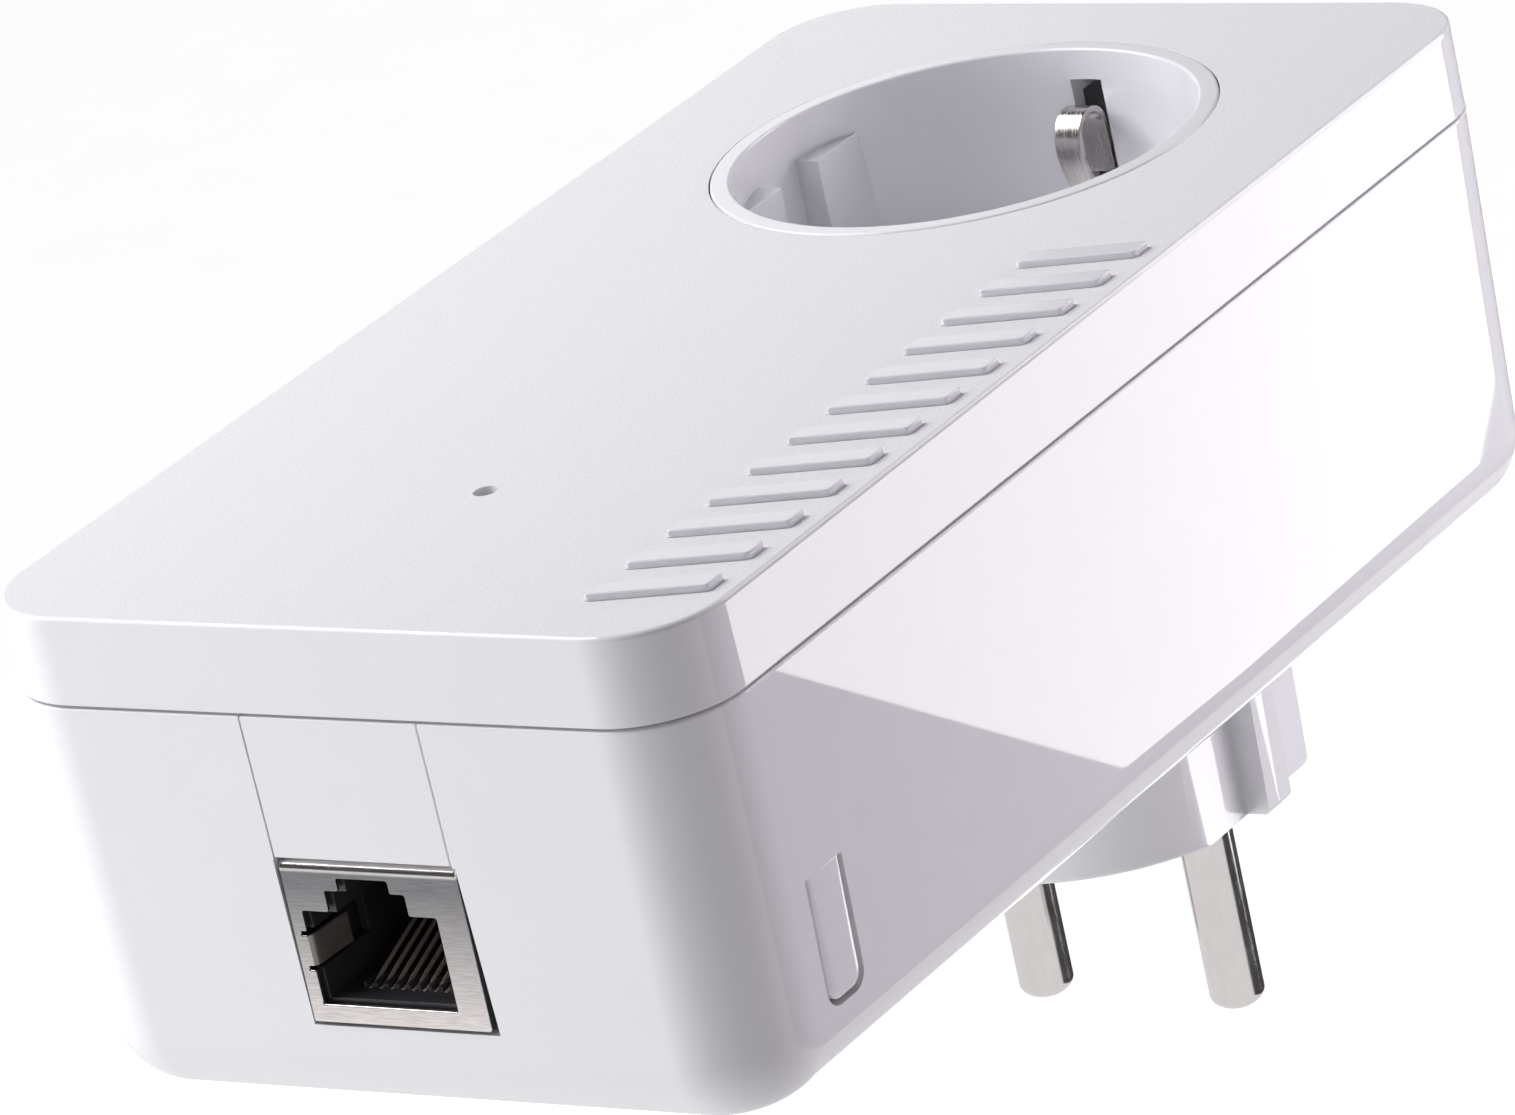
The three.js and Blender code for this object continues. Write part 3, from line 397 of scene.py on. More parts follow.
class Finish:
    """A node material with one surface shader, and short ways to feed it."""

    def __init__(self, name, roughness, metallic=0.0, **sockets):
        self.material = bpy.data.materials.new(name)
        self.material.use_nodes = True
        self.tree = self.material.node_tree
        self.shader = self.tree.nodes["Principled BSDF"]
        self.shader.inputs["Roughness"].default_value = roughness
        self.shader.inputs["Metallic"].default_value = metallic
        for socket, value in sockets.items():
            self.shader.inputs[socket.replace("_", " ")].default_value = value
        self.here = self.add("ShaderNodeTexCoord").outputs["Object"]

    def add(self, kind, links=None, **settings):
        node = self.tree.nodes.new(kind)
        for setting, value in settings.items():
            setattr(node, setting, value)
        for socket, source in (links or {}).items():
            if isinstance(source, bpy.types.NodeSocket):
                self.tree.links.new(source, node.inputs[socket])
            else:
                node.inputs[socket].default_value = source
        return node

    def stretched(self, stretch):
        """Object coordinates scaled differently along X, Y and Z."""
        mapping = self.add("ShaderNodeMapping", {"Vector": self.here, "Scale": stretch})
        return mapping.outputs["Vector"]

    def noise(self, size, detail=2.0, stretch=None):
        """Grey noise with features about this many millimetres across."""
        where = self.here if stretch is None else self.stretched(stretch)
        links = {"Vector": where, "Scale": 1 / (size * MM), "Detail": detail, "Roughness": 0.55}
        return self.add("ShaderNodeTexNoise", links).outputs["Fac"]

    def ramp(self, source, low, high, start=0.3, end=0.7):
        """A colour that goes from low to high as the source goes from start to end."""
        node = self.add("ShaderNodeValToRGB", {"Fac": source})
        node.color_ramp.elements[0].position = start
        node.color_ramp.elements[0].color = (*low, 1)
        node.color_ramp.elements[1].position = end
        node.color_ramp.elements[1].color = (*high, 1)
        return node.outputs["Color"]

    def range(self, source, low, high):
        links = {"Value": source, "From Min": 0.3, "From Max": 0.7, "To Min": low, "To Max": high}
        return self.add("ShaderNodeMapRange", links).outputs["Result"]

    def calculated(self, operation, *sources):
        return self.add("ShaderNodeMath", dict(enumerate(sources)), operation=operation).outputs[0]

    def feed(self, socket, source):
        self.tree.links.new(source, self.shader.inputs[socket])

    def bump(self, source, height):
        """Raises the surface by the source times a height in millimetres."""
        links = {"Height": source, "Distance": height * MM, "Strength": 1.0}
        if self.shader.inputs["Normal"].is_linked:
            links["Normal"] = self.shader.inputs["Normal"].links[0].from_socket
        self.feed("Normal", self.add("ShaderNodeBump", links).outputs["Normal"])


def shade(colour, factor):
    return tuple(min(1.0, c * factor) for c in colour)


def plastic(name, colour, roughness, grain, height, spread=0.015, **sockets):
    """Moulded plastic: fine surface grain, a slight mottling and uneven gloss."""
    made = Finish(name, roughness, **sockets)
    mottling = made.noise(6.0, 3.0)
    made.feed("Base Color", made.ramp(mottling, shade(colour, 1 - spread), shade(colour, 1 + spread)))
    made.feed("Roughness", made.range(made.noise(1.7), roughness * 0.85, roughness * 1.15))
    made.bump(made.noise(grain, 2.0), height)
    return made


def cover_face():
    """The cover's front: a spark-eroded grain that sparkles faintly under the lamps."""
    colour = (0.83, 0.815, 0.845)
    made = Finish("cover_face_grain", 0.42)
    grain = made.noise(0.2, 3.0)
    made.feed("Base Color", made.ramp(grain, shade(colour, 0.91), shade(colour, 1.09)))
    made.feed("Roughness", made.range(made.noise(0.5), 0.36, 0.5))
    made.bump(grain, 0.026)
    return made.material


def gloss_shell():
    """Polished white plastic with a trace of the ripple that moulding leaves."""
    made = plastic("gloss_white_shell", (0.86, 0.85, 0.88), 0.018, 11.0, 0.0003, 0.008)
    made.shader.inputs["IOR"].default_value = 1.52
    return made.material


def metal(name, colour, roughness, stretch, streak=0.25, height=0.0012, metallic=1.0, **sockets):
    """Brushed or drawn metal: fine streaks along the least stretched axis."""
    made = Finish(name, roughness, metallic, **sockets)
    lines = made.noise(1.0, 3.0, stretch)
    made.feed("Base Color", made.ramp(lines, shade(colour, 1 - streak), shade(colour, 1 + streak / 2)))
    made.feed("Roughness", made.range(lines, roughness * 0.7, roughness * 1.35))
    made.bump(lines, height)
    return made.material


def shield_steel():
    """Fine brushed sheet, with painted shade much darker towards the jack's upper edge, up to its bend.
    """
    made = Finish("jack_shield_steel", 0.22, 1.0)
    lines = made.noise(1.0, 4.0, (0.5, 9.0, 9.0))
    height = made.add("ShaderNodeSeparateXYZ", {"Vector": made.here}).outputs["Z"]
    rise = {"Value": height, "From Min": jack_low.z * MM, "From Max": jack_high.z * MM}
    rise = made.add("ShaderNodeMapRange", rise).outputs["Result"]
    streaks = made.ramp(lines, (0.72, 0.7, 0.69), (1.0, 0.97, 0.96))
    # Painted shade: the colour falls to about a third of its brightness towards the upper edge, and the
    # bend stays bright
    painted_shade = made.ramp(rise, (1.0, 0.985, 0.98), (0.3, 0.31, 0.325), 0.0, 0.85)
    bend = made.ramp(rise, (0.0, 0.0, 0.0), (1.0, 1.0, 1.0), 0.935, 0.95)
    # A colour mix takes its share on socket 0 and its two colours on 6 and 7, and gives its result on 2
    white = (1, 1, 1, 1)
    painted_shade = made.add("ShaderNodeMix", {0: bend, 6: painted_shade, 7: white}, data_type="RGBA").outputs[2]
    links = {0: 1.0, 6: streaks, 7: painted_shade}
    toned = made.add("ShaderNodeMix", links, data_type="RGBA", blend_type="MULTIPLY").outputs[2]
    made.feed("Base Color", toned)
    made.feed("Roughness", made.range(lines, 0.17, 0.23))
    made.bump(lines, 0.0001)
    return made.material


def circuit_board():
    """Green solder resist over tracks and pads."""
    made = Finish("circuit_board", 0.35)
    tracks = made.add("ShaderNodeTexBrick", {"Vector": made.here, "Scale": 420.0, "Mortar Size": 0.06})
    tracks.inputs["Color1"].default_value = (0.016, 0.12, 0.045, 1)
    tracks.inputs["Color2"].default_value = (0.02, 0.15, 0.055, 1)
    tracks.inputs["Mortar"].default_value = (0.035, 0.2, 0.08, 1)
    made.feed("Base Color", tracks.outputs["Color"])
    made.bump(tracks.outputs["Fac"], 0.03)
    made.feed("Roughness", made.range(made.noise(2.0), 0.28, 0.42))
    return made.material


def speckled(name, colour, roughness, size, contrast, height):
    """Cast or sintered material with specks of a given size."""
    made = Finish(name, roughness)
    specks = made.noise(size, 4.0)
    made.feed("Base Color", made.ramp(specks, shade(colour, 1 - contrast), shade(colour, 1 + contrast)))
    made.feed("Roughness", made.range(specks, roughness * 0.8, roughness * 1.2))
    made.bump(specks, height)
    return made.material


def banded(name, colour, roughness, band, height, metallic=0.0):
    """Turns of tape, sleeve or wire, side by side along Z."""
    made = Finish(name, roughness, metallic)
    links = {"Vector": made.here, "Scale": 0.16 / (band * MM), "Distortion": 0.4}
    turns = made.add("ShaderNodeTexWave", links, bands_direction="Z").outputs["Fac"]
    made.feed("Base Color", made.ramp(turns, shade(colour, 0.7), shade(colour, 1.1), 0.1, 0.6))
    made.feed("Roughness", made.range(made.noise(1.0), roughness * 0.8, roughness * 1.2))
    made.bump(turns, height)
    return made.material


def label_film():
    """Blank satin film, with a thin printed frame near its edge."""
    made = Finish("rating_label_film", 0.32)
    split = made.add("ShaderNodeSeparateXYZ", {"Vector": made.here})
    centre = (label_low + label_high) / 2
    half = (label_high - label_low) / 2
    depths = []
    for axis, middle, reach in (("X", centre.x, half.x), ("Y", centre.y, half.y)):
        away = made.calculated("ABSOLUTE", made.calculated("SUBTRACT", split.outputs[axis], middle * MM))
        depths.append(made.calculated("SUBTRACT", reach * MM, away))
    line_depth, half_line = 2.2 * MM, 0.2 * MM
    line = made.calculated("COMPARE", made.calculated("MINIMUM", *depths), line_depth, half_line)
    made.feed("Base Color", made.ramp(line, (0.72, 0.72, 0.75), (0.3, 0.3, 0.33)))
    made.feed("Roughness", made.range(made.noise(0.6), 0.26, 0.38))
    made.bump(made.noise(0.4), 0.002)
    return made.material


def clear_rod():
    """Acrylic with faint flow lines."""
    made = Finish("light_guide_acrylic", 0.12, Transmission_Weight=0.9, IOR=1.49)
    flow = made.noise(1.2, 2.0, (1, 1, 0.2))
    made.feed("Base Color", made.ramp(flow, (0.86, 0.88, 0.9), (0.95, 0.96, 0.97)))
    made.bump(flow, 0.003)
    return made.material


FACE = cover_face()
GLOSS = gloss_shell()
INSERT = plastic("socket_insert_white", (0.84, 0.83, 0.87), 0.16, 2.5, 0.0012, 0.01).material
TRIM = plastic("trim_bar_gloss", (0.8, 0.79, 0.835), 0.09, 5.0, 0.0012, 0.01).material
# Black moulding, also used as painted shade on the jack can's sides in their narrow gap
BLACK = plastic("black_moulding_and_gap_shade", (0.035, 0.033, 0.037), 0.38, 0.25, 0.004, 0.2).material
GREY = plastic("grey_moulding", (0.22, 0.225, 0.24), 0.45, 0.3, 0.004, 0.05).material
NICKEL = metal("nickel_plated_pin", (0.76, 0.73, 0.725), 0.14, (0.9, 0.9, 0.4), 0.05, 0.00003)
SPRING = metal("spring_steel_strip", (0.6, 0.57, 0.56), 0.24, (9.0, 0.3, 0.3), 0.16, 0.0004)
SCREW = metal("zinc_plated_screw", (0.6, 0.61, 0.63), 0.3, (4.0, 4.0, 4.0), 0.2, 0.001)
STEEL = shield_steel()
TAB = metal("jack_tongue_steel", (0.34, 0.3, 0.28), 0.4, (6.0, 0.6, 6.0), 0.12, 0.0005, 0.6)
WIRE = metal("jack_contact_bronze", (0.75, 0.62, 0.52), 0.35, (6.0, 0.6, 6.0), 0.12, 0.0005, 0.5)
PORT_BLACK = plastic("jack_moulding_black", (0.045, 0.042, 0.048), 0.36, 0.25, 0.003, 0.12).material
BRASS = metal("stamped_brass", (0.72, 0.5, 0.2), 0.3, (3.0, 3.0, 0.5), 0.2, 0.001)
ALUMINIUM = metal("cast_aluminium", (0.62, 0.63, 0.65), 0.38, (1.0, 6.0, 1.0), 0.15, 0.002)
COPPER = banded("copper_winding", (0.62, 0.27, 0.13), 0.3, 0.5, 0.1, 1.0)
BOARD = circuit_board()
CHIP = speckled("chip_resin", (0.022, 0.022, 0.025), 0.5, 0.3, 0.35, 0.006)
FERRITE = speckled("sintered_ferrite", (0.06, 0.058, 0.06), 0.65, 0.5, 0.4, 0.012)
RESIN = speckled("blue_dipped_resin", (0.03, 0.12, 0.42), 0.28, 1.6, 0.12, 0.01)
TAPE = banded("yellow_winding_tape", (0.72, 0.5, 0.05), 0.35, 2.4, 0.05)
SLEEVE = banded("capacitor_sleeve", (0.03, 0.03, 0.035), 0.3, 6.0, 0.02)
LABEL = label_film()
CLEAR = clear_rod()

CAD_FINISHES = {
    "cover_plastic": GLOSS,
    "shell_plastic": GLOSS,
    "insert_plastic": INSERT,
    "trim_plastic": TRIM,
    "label_film": LABEL,
    "clear_plastic": CLEAR,
    "nickel": NICKEL,
    "spring_steel": SPRING,
    "screw_steel": SCREW,
    "jack_steel": STEEL,
    "brass": BRASS,
    "black_plastic": BLACK,
    "grey_plastic": GREY,
    "board": BOARD,
    "chip_resin": CHIP,
    "aluminium": ALUMINIUM,
    "yellow_tape": TAPE,
    "ferrite": FERRITE,
    "blue_resin": RESIN,
    "capacitor_sleeve": SLEEVE,
    "copper_wire": COPPER,
}


# Enclosure


def shell_profile():
    """The housing's wall as (inset, z), from its inside floor over the rim to its rear face."""
    floor = REAR + WALL
    inner_fillet = REAR_FILLET - WALL
    lip_inset = WALL + 0.35
    groove = 0.75
    shoulder = COVER_BOTTOM - 0.08
    rim = COVER_BOTTOM - SHOWN_SEAM
    profile = []
    for inset, z in arc((WALL + inner_fillet, floor + inner_fillet), inner_fillet, 270, 180, 6):
        profile.append((inset, z))
    profile += [
        (WALL, RIM - 4.6),
        (WALL + 1.6, RIM - 3.0),
        (WALL + 1.6, LIP_TOP),
        (lip_inset, LIP_TOP),
        (lip_inset, shoulder),
        (groove, shoulder),
        (groove, rim),
    ]
    profile += arc((RIM_EDGE, rim - RIM_EDGE), RIM_EDGE, 90, 180, 6)
    profile += arc((REAR_FILLET, REAR + REAR_FILLET), REAR_FILLET, 180, 270, FILLET_STEPS)
    return profile


def port_openings():
    """Cutters for the jack and for the panel over it, with the narrow gaps round them."""
    outside, inside = NEAR_END - 2, NEAR_END + 5
    hair = 0.13
    panel = block(
        "panel_cutter", panel_low.x - hair, panel_high.x + hair, outside, inside, jack_high.z, LIP_TOP + 2
    )
    left_gap, lower_gap, upper_gap = 0.12, 0.28, 0.2
    right_gap_low, right_gap_high = 0.66, 0.3
    jack_outline = [
        (jack_low.x - left_gap, jack_low.z - lower_gap),
        (jack_high.x + right_gap_low, jack_low.z - lower_gap),
        (jack_high.x + right_gap_high, jack_high.z + upper_gap),
        (jack_low.x - left_gap, jack_high.z + upper_gap),
    ]
    return panel, extruded("jack_cutter", jack_outline, outside, inside, "Y")


def button_outline(grow, reach):
    """The tongue's outline in (y, z), grown all round, and square where it joins the wall."""
    outline = rounded_rect(
        BUTTON_Y - BUTTON_HALF - grow, BUTTON_Y + BUTTON_HALF + grow, BUTTON_BASE - grow,
        BUTTON_TOP + reach, 1.2 + grow,
    )
    return square_top(outline)


def button_slot():
    """The U-shaped slot that frees the button's tongue on three sides."""
    slot = extruded("slot_cutter", button_outline(BUTTON_SLOT, 0), HALF_WIDTH - 6, HALF_WIDTH + 2, "X")
    keeper = extruded("tongue_keeper", button_outline(0, 1), HALF_WIDTH - 7, HALF_WIDTH + 3, "X")
    return cut(slot, keeper)


def button_root(name):
    """The stretch of wall that holds the tongue and half the slot round it."""
    return extruded(name, button_outline(BUTTON_SLOT / 2, 0), HALF_WIDTH - 5, HALF_WIDTH + 1, "X")


def square_top(outline):
    """The same outline with its two upper corners made square again."""
    top = max(b for a, b in outline)
    middle = (top + min(b for a, b in outline)) / 2
    lower = [p for p in outline if p[1] < middle]
    low_a = min(a for a, b in outline)
    high_a = max(a for a, b in outline)
    right = [p for p in lower if p[0] > (low_a + high_a) / 2]
    left = [p for p in lower if p[0] <= (low_a + high_a) / 2]
    return [*right, (high_a, top), (low_a, top), *left]


def rear_housing():
    """The deep half of the case, with its screw columns and all its openings."""
    shell = loft("rear_housing_shell", [body_ring(inset, z) for inset, z in shell_profile()])
    column = 4.2
    column_top = 44.0
    for name, (low, high) in SCREWS.items():
        x, y = upright_axis(low, high)
        join(shell, rod(name + "_column", column, REAR + WALL - 0.5, column_top, x, y, 40))
    shank = 1.7
    head_seat = 24
    for name, (low, high) in SCREWS.items():
        x, y = upright_axis(low, high)
        head = (high.x - low.x) / 2 + 0.4
        bore = [
            (0, REAR - 1), (head, REAR - 1), (head, head_seat), (shank, head_seat),
            (shank, column_top + 1), (0, column_top + 1),
        ]
        cut(shell, turned(name + "_bore", bore, x, y, 48))
    margin = 0.3
    recess_depth = 0.5
    plug_hole = 18.5
    recess = rounded_rect(
        label_low.x - margin, label_high.x + margin, label_low.y - margin, label_high.y + margin, 2.0
    )
    cut(
        shell,
        *port_openings(),
        button_slot(),
        extruded("label_recess", recess, REAR - 1, REAR + recess_depth),
        rod("plug_hole", plug_hole, REAR - 1, REAR + WALL + 1),
    )
    round_edges(shell, FINE_EDGE, 3)
    cut(shell, button_root("tongue_space"))
    return place(shell, "root", "shell_plastic", "rear_housing", finish=GLOSS)


def bar_outline(index, margin):
    """One slanted bar's outline, grown by a margin."""
    start = bars_low.y + BAR_WIDTH / 2 + index * BAR_PITCH
    half = BAR_WIDTH / 2 + margin
    inner, outer = bars_low.x - margin, bars_high.x + margin
    return [
        (inner, start - half),
        (outer, start - half + BAR_LEAN),
        (outer, start + half + BAR_LEAN),
        (inner, start + half),
    ]


def front_cover():
    """The shallow half of the case, with all its openings."""
    plate = FRONT - COVER_PLATE
    profile = [(WALL, plate), (WALL, COVER_BOTTOM)]
    profile += arc((FINE_EDGE, COVER_BOTTOM + FINE_EDGE), FINE_EDGE, 270, 180, 4)
    profile += arc((TOP_EDGE, FRONT - TOP_EDGE), TOP_EDGE, 180, 90, 6)
    cover = loft("front_cover_moulding", [body_ring(inset, z) for inset, z in profile])
    post, post_start = 3.4, 44.4
    thread, thread_start, thread_end = 1.65, 43, 54
    for name, (low, high) in SCREWS.items():
        x, y = upright_axis(low, high)
        join(cover, rod(name + "_post", post, post_start, plate + 0.5, x, y, 32))
        cut(cover, rod(name + "_thread", thread, thread_start, thread_end, x, y, 24))
    light_hole = 1.0
    holes = [
        rod("ring_hole", RING_RADIUS + 0.1, plate - 1, FRONT + 1),
        rod("light_hole", light_hole, plate - 1, FRONT + 1, *upright_axis(guide_low, guide_high), 48),
    ]
    for i in range(BAR_COUNT):
        outline = softened(bar_outline(i, BAR_GAP), BAR_CORNER)
        holes.append(extruded(f"bar_slot_{i + 1}", outline, plate - 1, FRONT + 1))
    cut(cover, *holes)
    round_edges(cover, 0.08, 2)

    def on_front(face):
        return face.normal.z > 0.985 and face.center.z > (FRONT - 0.05) * MM

    return place(
        cover, "root", "cover_plastic", "front_cover", finish=GLOSS, second=FACE, second_where=on_front
    )


def trim_bars():
    """Bars on one carrier strip, standing through slots in the cover."""
    plate = FRONT - COVER_PLATE
    middle = (bars_low.x + bars_high.x) / 2
    half = 1.7
    carrier = block(
        "trim_bars_moulding", middle - half, middle + half, bars_low.y + 0.5, bars_high.y - 0.5,
        plate - 1.3, plate - 0.3,
    )
    for i in range(BAR_COUNT):
        outline = softened(bar_outline(i, 0.0), BAR_CORNER)
        join(carrier, extruded(f"bar_{i + 1}", outline, plate - 0.8, bars_high.z))
    round_edges(carrier, 0.2, 4)
    return place(carrier, "root", "trim_plastic", "trim_bars", finish=TRIM)


def port_filler_panel():
    """The strip of wall between the jack and the cover, cut from the housing's own shape."""
    wall = loft("port_filler", [body_ring(inset, z) for inset, z in shell_profile()])
    strip = block(
        "panel_strip", panel_low.x, panel_high.x, NEAR_END - 2, NEAR_END + 4.5,
        jack_high.z + 0.34, LIP_TOP + 1,
    )
    common(wall, strip)
    round_edges(wall, 0.1, 3)
    return place(wall, "root", "shell_plastic", "port_filler_panel", finish=GLOSS)


def rating_label():
    """A thin film with rounded corners on the rear face."""
    outline = rounded_rect(label_low.x, label_high.x, label_low.y, label_high.y, 1.7)
    film = extruded("rating_label_film", outline, label_low.z, label_high.z)
    round_edges(film, 0.05, 2)
    return place(film, "root", "label_film", "rating_label", finish=LABEL)


def light_guide():
    """A stepped clear rod from the board's LED to the hole in the cover."""
    x, y = upright_axis(guide_low, guide_high)
    shoulder = (guide_high.x - guide_low.x) / 2
    top = guide_high.z
    profile = [
        (0, guide_low.z), (shoulder, guide_low.z), (shoulder, 30), (1.1, 31), (1.1, 57.2), (0.7, 57.6),
        *arc((0.4, top - 0.3), 0.3, 0, 90, 5), (0, top),
    ]
    rod_piece = turned("light_guide_rod", profile, x, y, 48)
    return place(rod_piece, "root", "clear_plastic", "light_guide", finish=CLEAR)


def case_screw(name):
    """A domed, threaded screw with a cross recess."""
    low, high = SCREWS[name]
    x, y = upright_axis(low, high)
    head = (high.x - low.x) / 2
    head_end = 23.7
    dome = 0.9
    thread = 1.3
    pitch = 0.9
    profile = [
        (0, low.z), *arc((head - dome, low.z + dome), dome, 270, 360, 6), (head, head_end),
        (thread, head_end),
    ]
    z = 25.0
    while z < high.z - 2:
        profile += [(thread - 0.25, z), (thread, z + pitch / 2)]
        z += pitch
    profile += [(thread - 0.3, high.z - 1.5), (0, high.z)]
    screw = turned(name + "_driven", profile, x, y, 48)
    reach, half = 1.5, 0.34
    cut(
        screw,
        block("slot_a", x - half, x + half, y - reach, y + reach, low.z - 1, low.z + 1.1),
        block("slot_b", x - reach, x + reach, y - half, y + half, low.z - 1, low.z + 1.1),
    )
    return place(screw, "root", "screw_steel", name, finish=SCREW)


# Plug


def plug_body():
    """The round plug, hollow from behind, with flats, pin bosses and strip recesses."""

    def radius(z):
        return PLUG_RADIUS + DRAFT * z

    edge = 0.5
    flange = 20.5
    profile = [
        (0, 0), *arc((radius(0) - edge, edge), edge, 270, 360, 5), (radius(FLANGE_LOW), FLANGE_LOW),
        (flange, FLANGE_LOW), (flange, FLANGE_LOW + 2), (0, FLANGE_LOW + 2),
    ]
    body = turned("plug_moulding", profile)
    sides = []
    for side in (-1, 1):
        for half in (-1, 1):
            x = sorted((side * PLUG_FLAT, side * (PLUG_RADIUS + 3)))
            y = sorted((half * PLUG_RIB, half * (PLUG_RADIUS + 3)))
            sides.append(block("flat", *x, *y, -1, REAR - 0.4))
    cut(body, *sides)
    round_edges(body, 0.4, 4)
    floor, wall_inside = 2.4, 13.2
    hollow = common(
        rod("hollow", 15.4, floor, FLANGE_LOW + 3, 0, 0, 96),
        block("hollow_sides", -wall_inside, wall_inside, -20, 20, 0, FLANGE_LOW + 4),
    )
    cut(body, hollow)
    for side in (-1, 1):
        join(body, rod("boss", 3.6, floor - 0.5, pin_high.z - 1, side * PIN_X, 0, 48))
        y = sorted((side * (strip_low.y - 0.1), side * 22))
        cut(
            body,
            rod("pin_hole", PIN_RADIUS + 0.06, -1, pin_high.z + 5, side * PIN_X, 0, 96),
            block("strip_recess", -2.1, 2.1, *y, strip_low.z - 0.1, FLANGE_LOW + 3),
        )
    return place(body, "root", "shell_plastic", "plug_body", finish=GLOSS)


def plug_pin(name, x):
    """A turned pin with a domed tip."""
    tip = pin_low.z
    nose = 1.5
    profile = []
    for a, b in arc((0, 0), 1.0, 270, 360, 14):
        profile.append((a * PIN_RADIUS, tip + nose * (1 + b)))
    profile += [(PIN_RADIUS, pin_high.z), (0, pin_high.z)]
    return place(turned(name + "_turned", profile, x), "root", "nickel", name, finish=NICKEL)


def plug_earth_strip(name):
    """A pressed strip with rounded edges, in a recess of the plug's side."""
    low, high = span(name)
    strip = block(name + "_pressed", low.x, high.x, low.y, high.y, low.z, high.z)
    round_edges(strip, 0.18, 3)
    return place(strip, "root", "spring_steel", name, finish=SPRING)


# Socket


def socket_insert():
    """The socket's ring and well, with guide lugs, pin holes and clip slots."""
    floor = FRONT - WELL_DEPTH
    base = floor - 1.5
    shelf = FRONT - COVER_PLATE - 0.4
    rise = 0.1
    bead = 0.26
    profile = [
        (0, base), (21.1, base), (21.1, 55.9), (23.4, 55.9), (23.4, shelf), (RING_RADIUS, shelf),
        *arc((RING_RADIUS - bead, FRONT + rise - bead), bead, 0, 90, 6),
        *arc((WELL_RADIUS + 0.2 + bead, FRONT + rise - bead), bead, 90, 180, 6),
        (WELL_RADIUS, FRONT - 3),
        *arc((WELL_RADIUS - 1.2, floor + 1.2), 1.2, 360, 270, 6),
        (0, floor),
    ]
    well = turned("socket_well", profile)
    lugs = []
    for side in (-1, 1):
        for half in (-1, 1):
            x = sorted((side * LUG_FACE, side * 20.6))
            y = sorted((half * LUG_START, half * LUG_END))
            lug = block("lug", *x, *y, floor - 0.5, LUG_TOP)
            inside = rod("inside", WELL_RADIUS + 0.4, floor - 1, LUG_TOP + 1)
            lugs.append(round_edges(common(lug, inside), 0.3, 3))
    join(well, *lugs)
    for side in (-1, 1):
        y = sorted((side * 16.6, side * 26))
        cut(
            well,
            rod("pin_hole", 2.75, base - 1, floor + 1, side * PIN_X, 0, 64),
            block("clip_slot", -SLOT_HALF, SLOT_HALF, *y, base - 1, SLOT_TOP),
        )
    join(well, rod("post", 1.25, insert_low.z, base + 0.5, 0, 0, 32))
    return place(well, "root", "insert_plastic", "socket_insert", finish=INSERT)


# The far clip's bent line as (y, z), from its root to its free end
CLIP_LINE = [
    (22, 38.2),
    (22, 41.4),
    (20.9, 43.6),
    (18.6, 45.6),
    (16.6, 48.2),
    (15.3, 51.2),
    (15.1, 53.4),
    (15.9, 55),
    (17.4, 55.5),
    (18.9, 54.8),
    (19.4, 53),
    (19.5, 49.2),
]


def earth_clip(name, body, side):
    """A bent spring strip: up behind the well's wall, through its slot and over at the top."""
    thickness = 0.55
    line = spline([(side * y, z) for y, z in CLIP_LINE], 7)
    half = (clip_high.x - clip_low.x) / 2
    strip = extruded(name + "_bent", ribbon(line, thickness), -half, half, "X")
    round_edges(strip, 0.1, 2, 50)
    return place(strip, body, "spring_steel", name, finish=SPRING)


# Pairing button


def pairing_button():
    """A tongue in the wall, chamfered all round and slightly proud at its free lower end."""
    chamfer = 0.85
    chamfer_at_top = 0.45
    slope = 0.29
    proud = 0.12
    nib_half = 0.8
    tongue = extruded("pairing_tongue", button_outline(0, 2), HALF_WIDTH - WALL, HALF_WIDTH, "X")
    round_edges(tongue, chamfer, 1, clamp=False)
    side = BUTTON_HALF + 1
    common(
        tongue,
        block("tongue_trim", 30, 34, BUTTON_Y - side, BUTTON_Y + side, BUTTON_BASE - 1, BUTTON_TOP),
    )
    for vertex in tongue.data.vertices:
        depth = HALF_WIDTH - vertex.co.x
        share = max(0, (BUTTON_TOP - vertex.co.z) / (BUTTON_TOP - BUTTON_BASE))
        width = chamfer * (chamfer_at_top + (1 - chamfer_at_top) * share)
        if depth < 0.01:
            spread = (BUTTON_HALF - width) / (BUTTON_HALF - chamfer)
            vertex.co.y = BUTTON_Y + (vertex.co.y - BUTTON_Y) * spread
        elif depth < chamfer + 0.01:
            depth = width * slope
        vertex.co.x = HALF_WIDTH - depth - DRAFT * (RIM - vertex.co.z) + proud * share ** 1.5
    plunger_low, plunger_high = span("tact_plunger")
    nib_z = (plunger_low.z + plunger_high.z) / 2
    nib = block(
        "nib", button_low.x, 31, BUTTON_Y - nib_half, BUTTON_Y + nib_half, nib_z - 0.9, nib_z + 0.9
    )
    join(tongue, nib)
    round_edges(tongue, 0.05, 2)
    return place(tongue, "button", "shell_plastic", "pairing_button", finish=GLOSS)


def tact_plunger():
    """The switch's round stem, lying along X."""
    low, high = span("tact_plunger")
    middle = (low + high) / 2
    outline = arc((middle.y, middle.z), (high.z - low.z) / 2, 0, 360, 40)[:-1]
    plunger = extruded("switch_plunger", outline, low.x, high.x, "X")
    round_edges(plunger, 0.2, 3)
    return place(plunger, "plunger", "grey_plastic", "tact_plunger", finish=GREY)


# Network jack


def port_outline(grow):
    """The keyed mouth of the jack, with its latch steps at the top."""
    low = PORT_BOTTOM - grow
    right = [
        (PORT_HALF + grow, low),
        (PORT_HALF + grow, 35.9 + grow),
        (3.75 + grow, 35.9 + grow),
        (3.75 + grow, 37.7 + grow),
        (2.4 + grow, 37.7 + grow),
        (2.4 + grow, 38.8 + grow),
    ]
    left = [(-x, z) for x, z in reversed(right)]
    return [(x + PORT_X, z) for x, z in [*right, *left]]


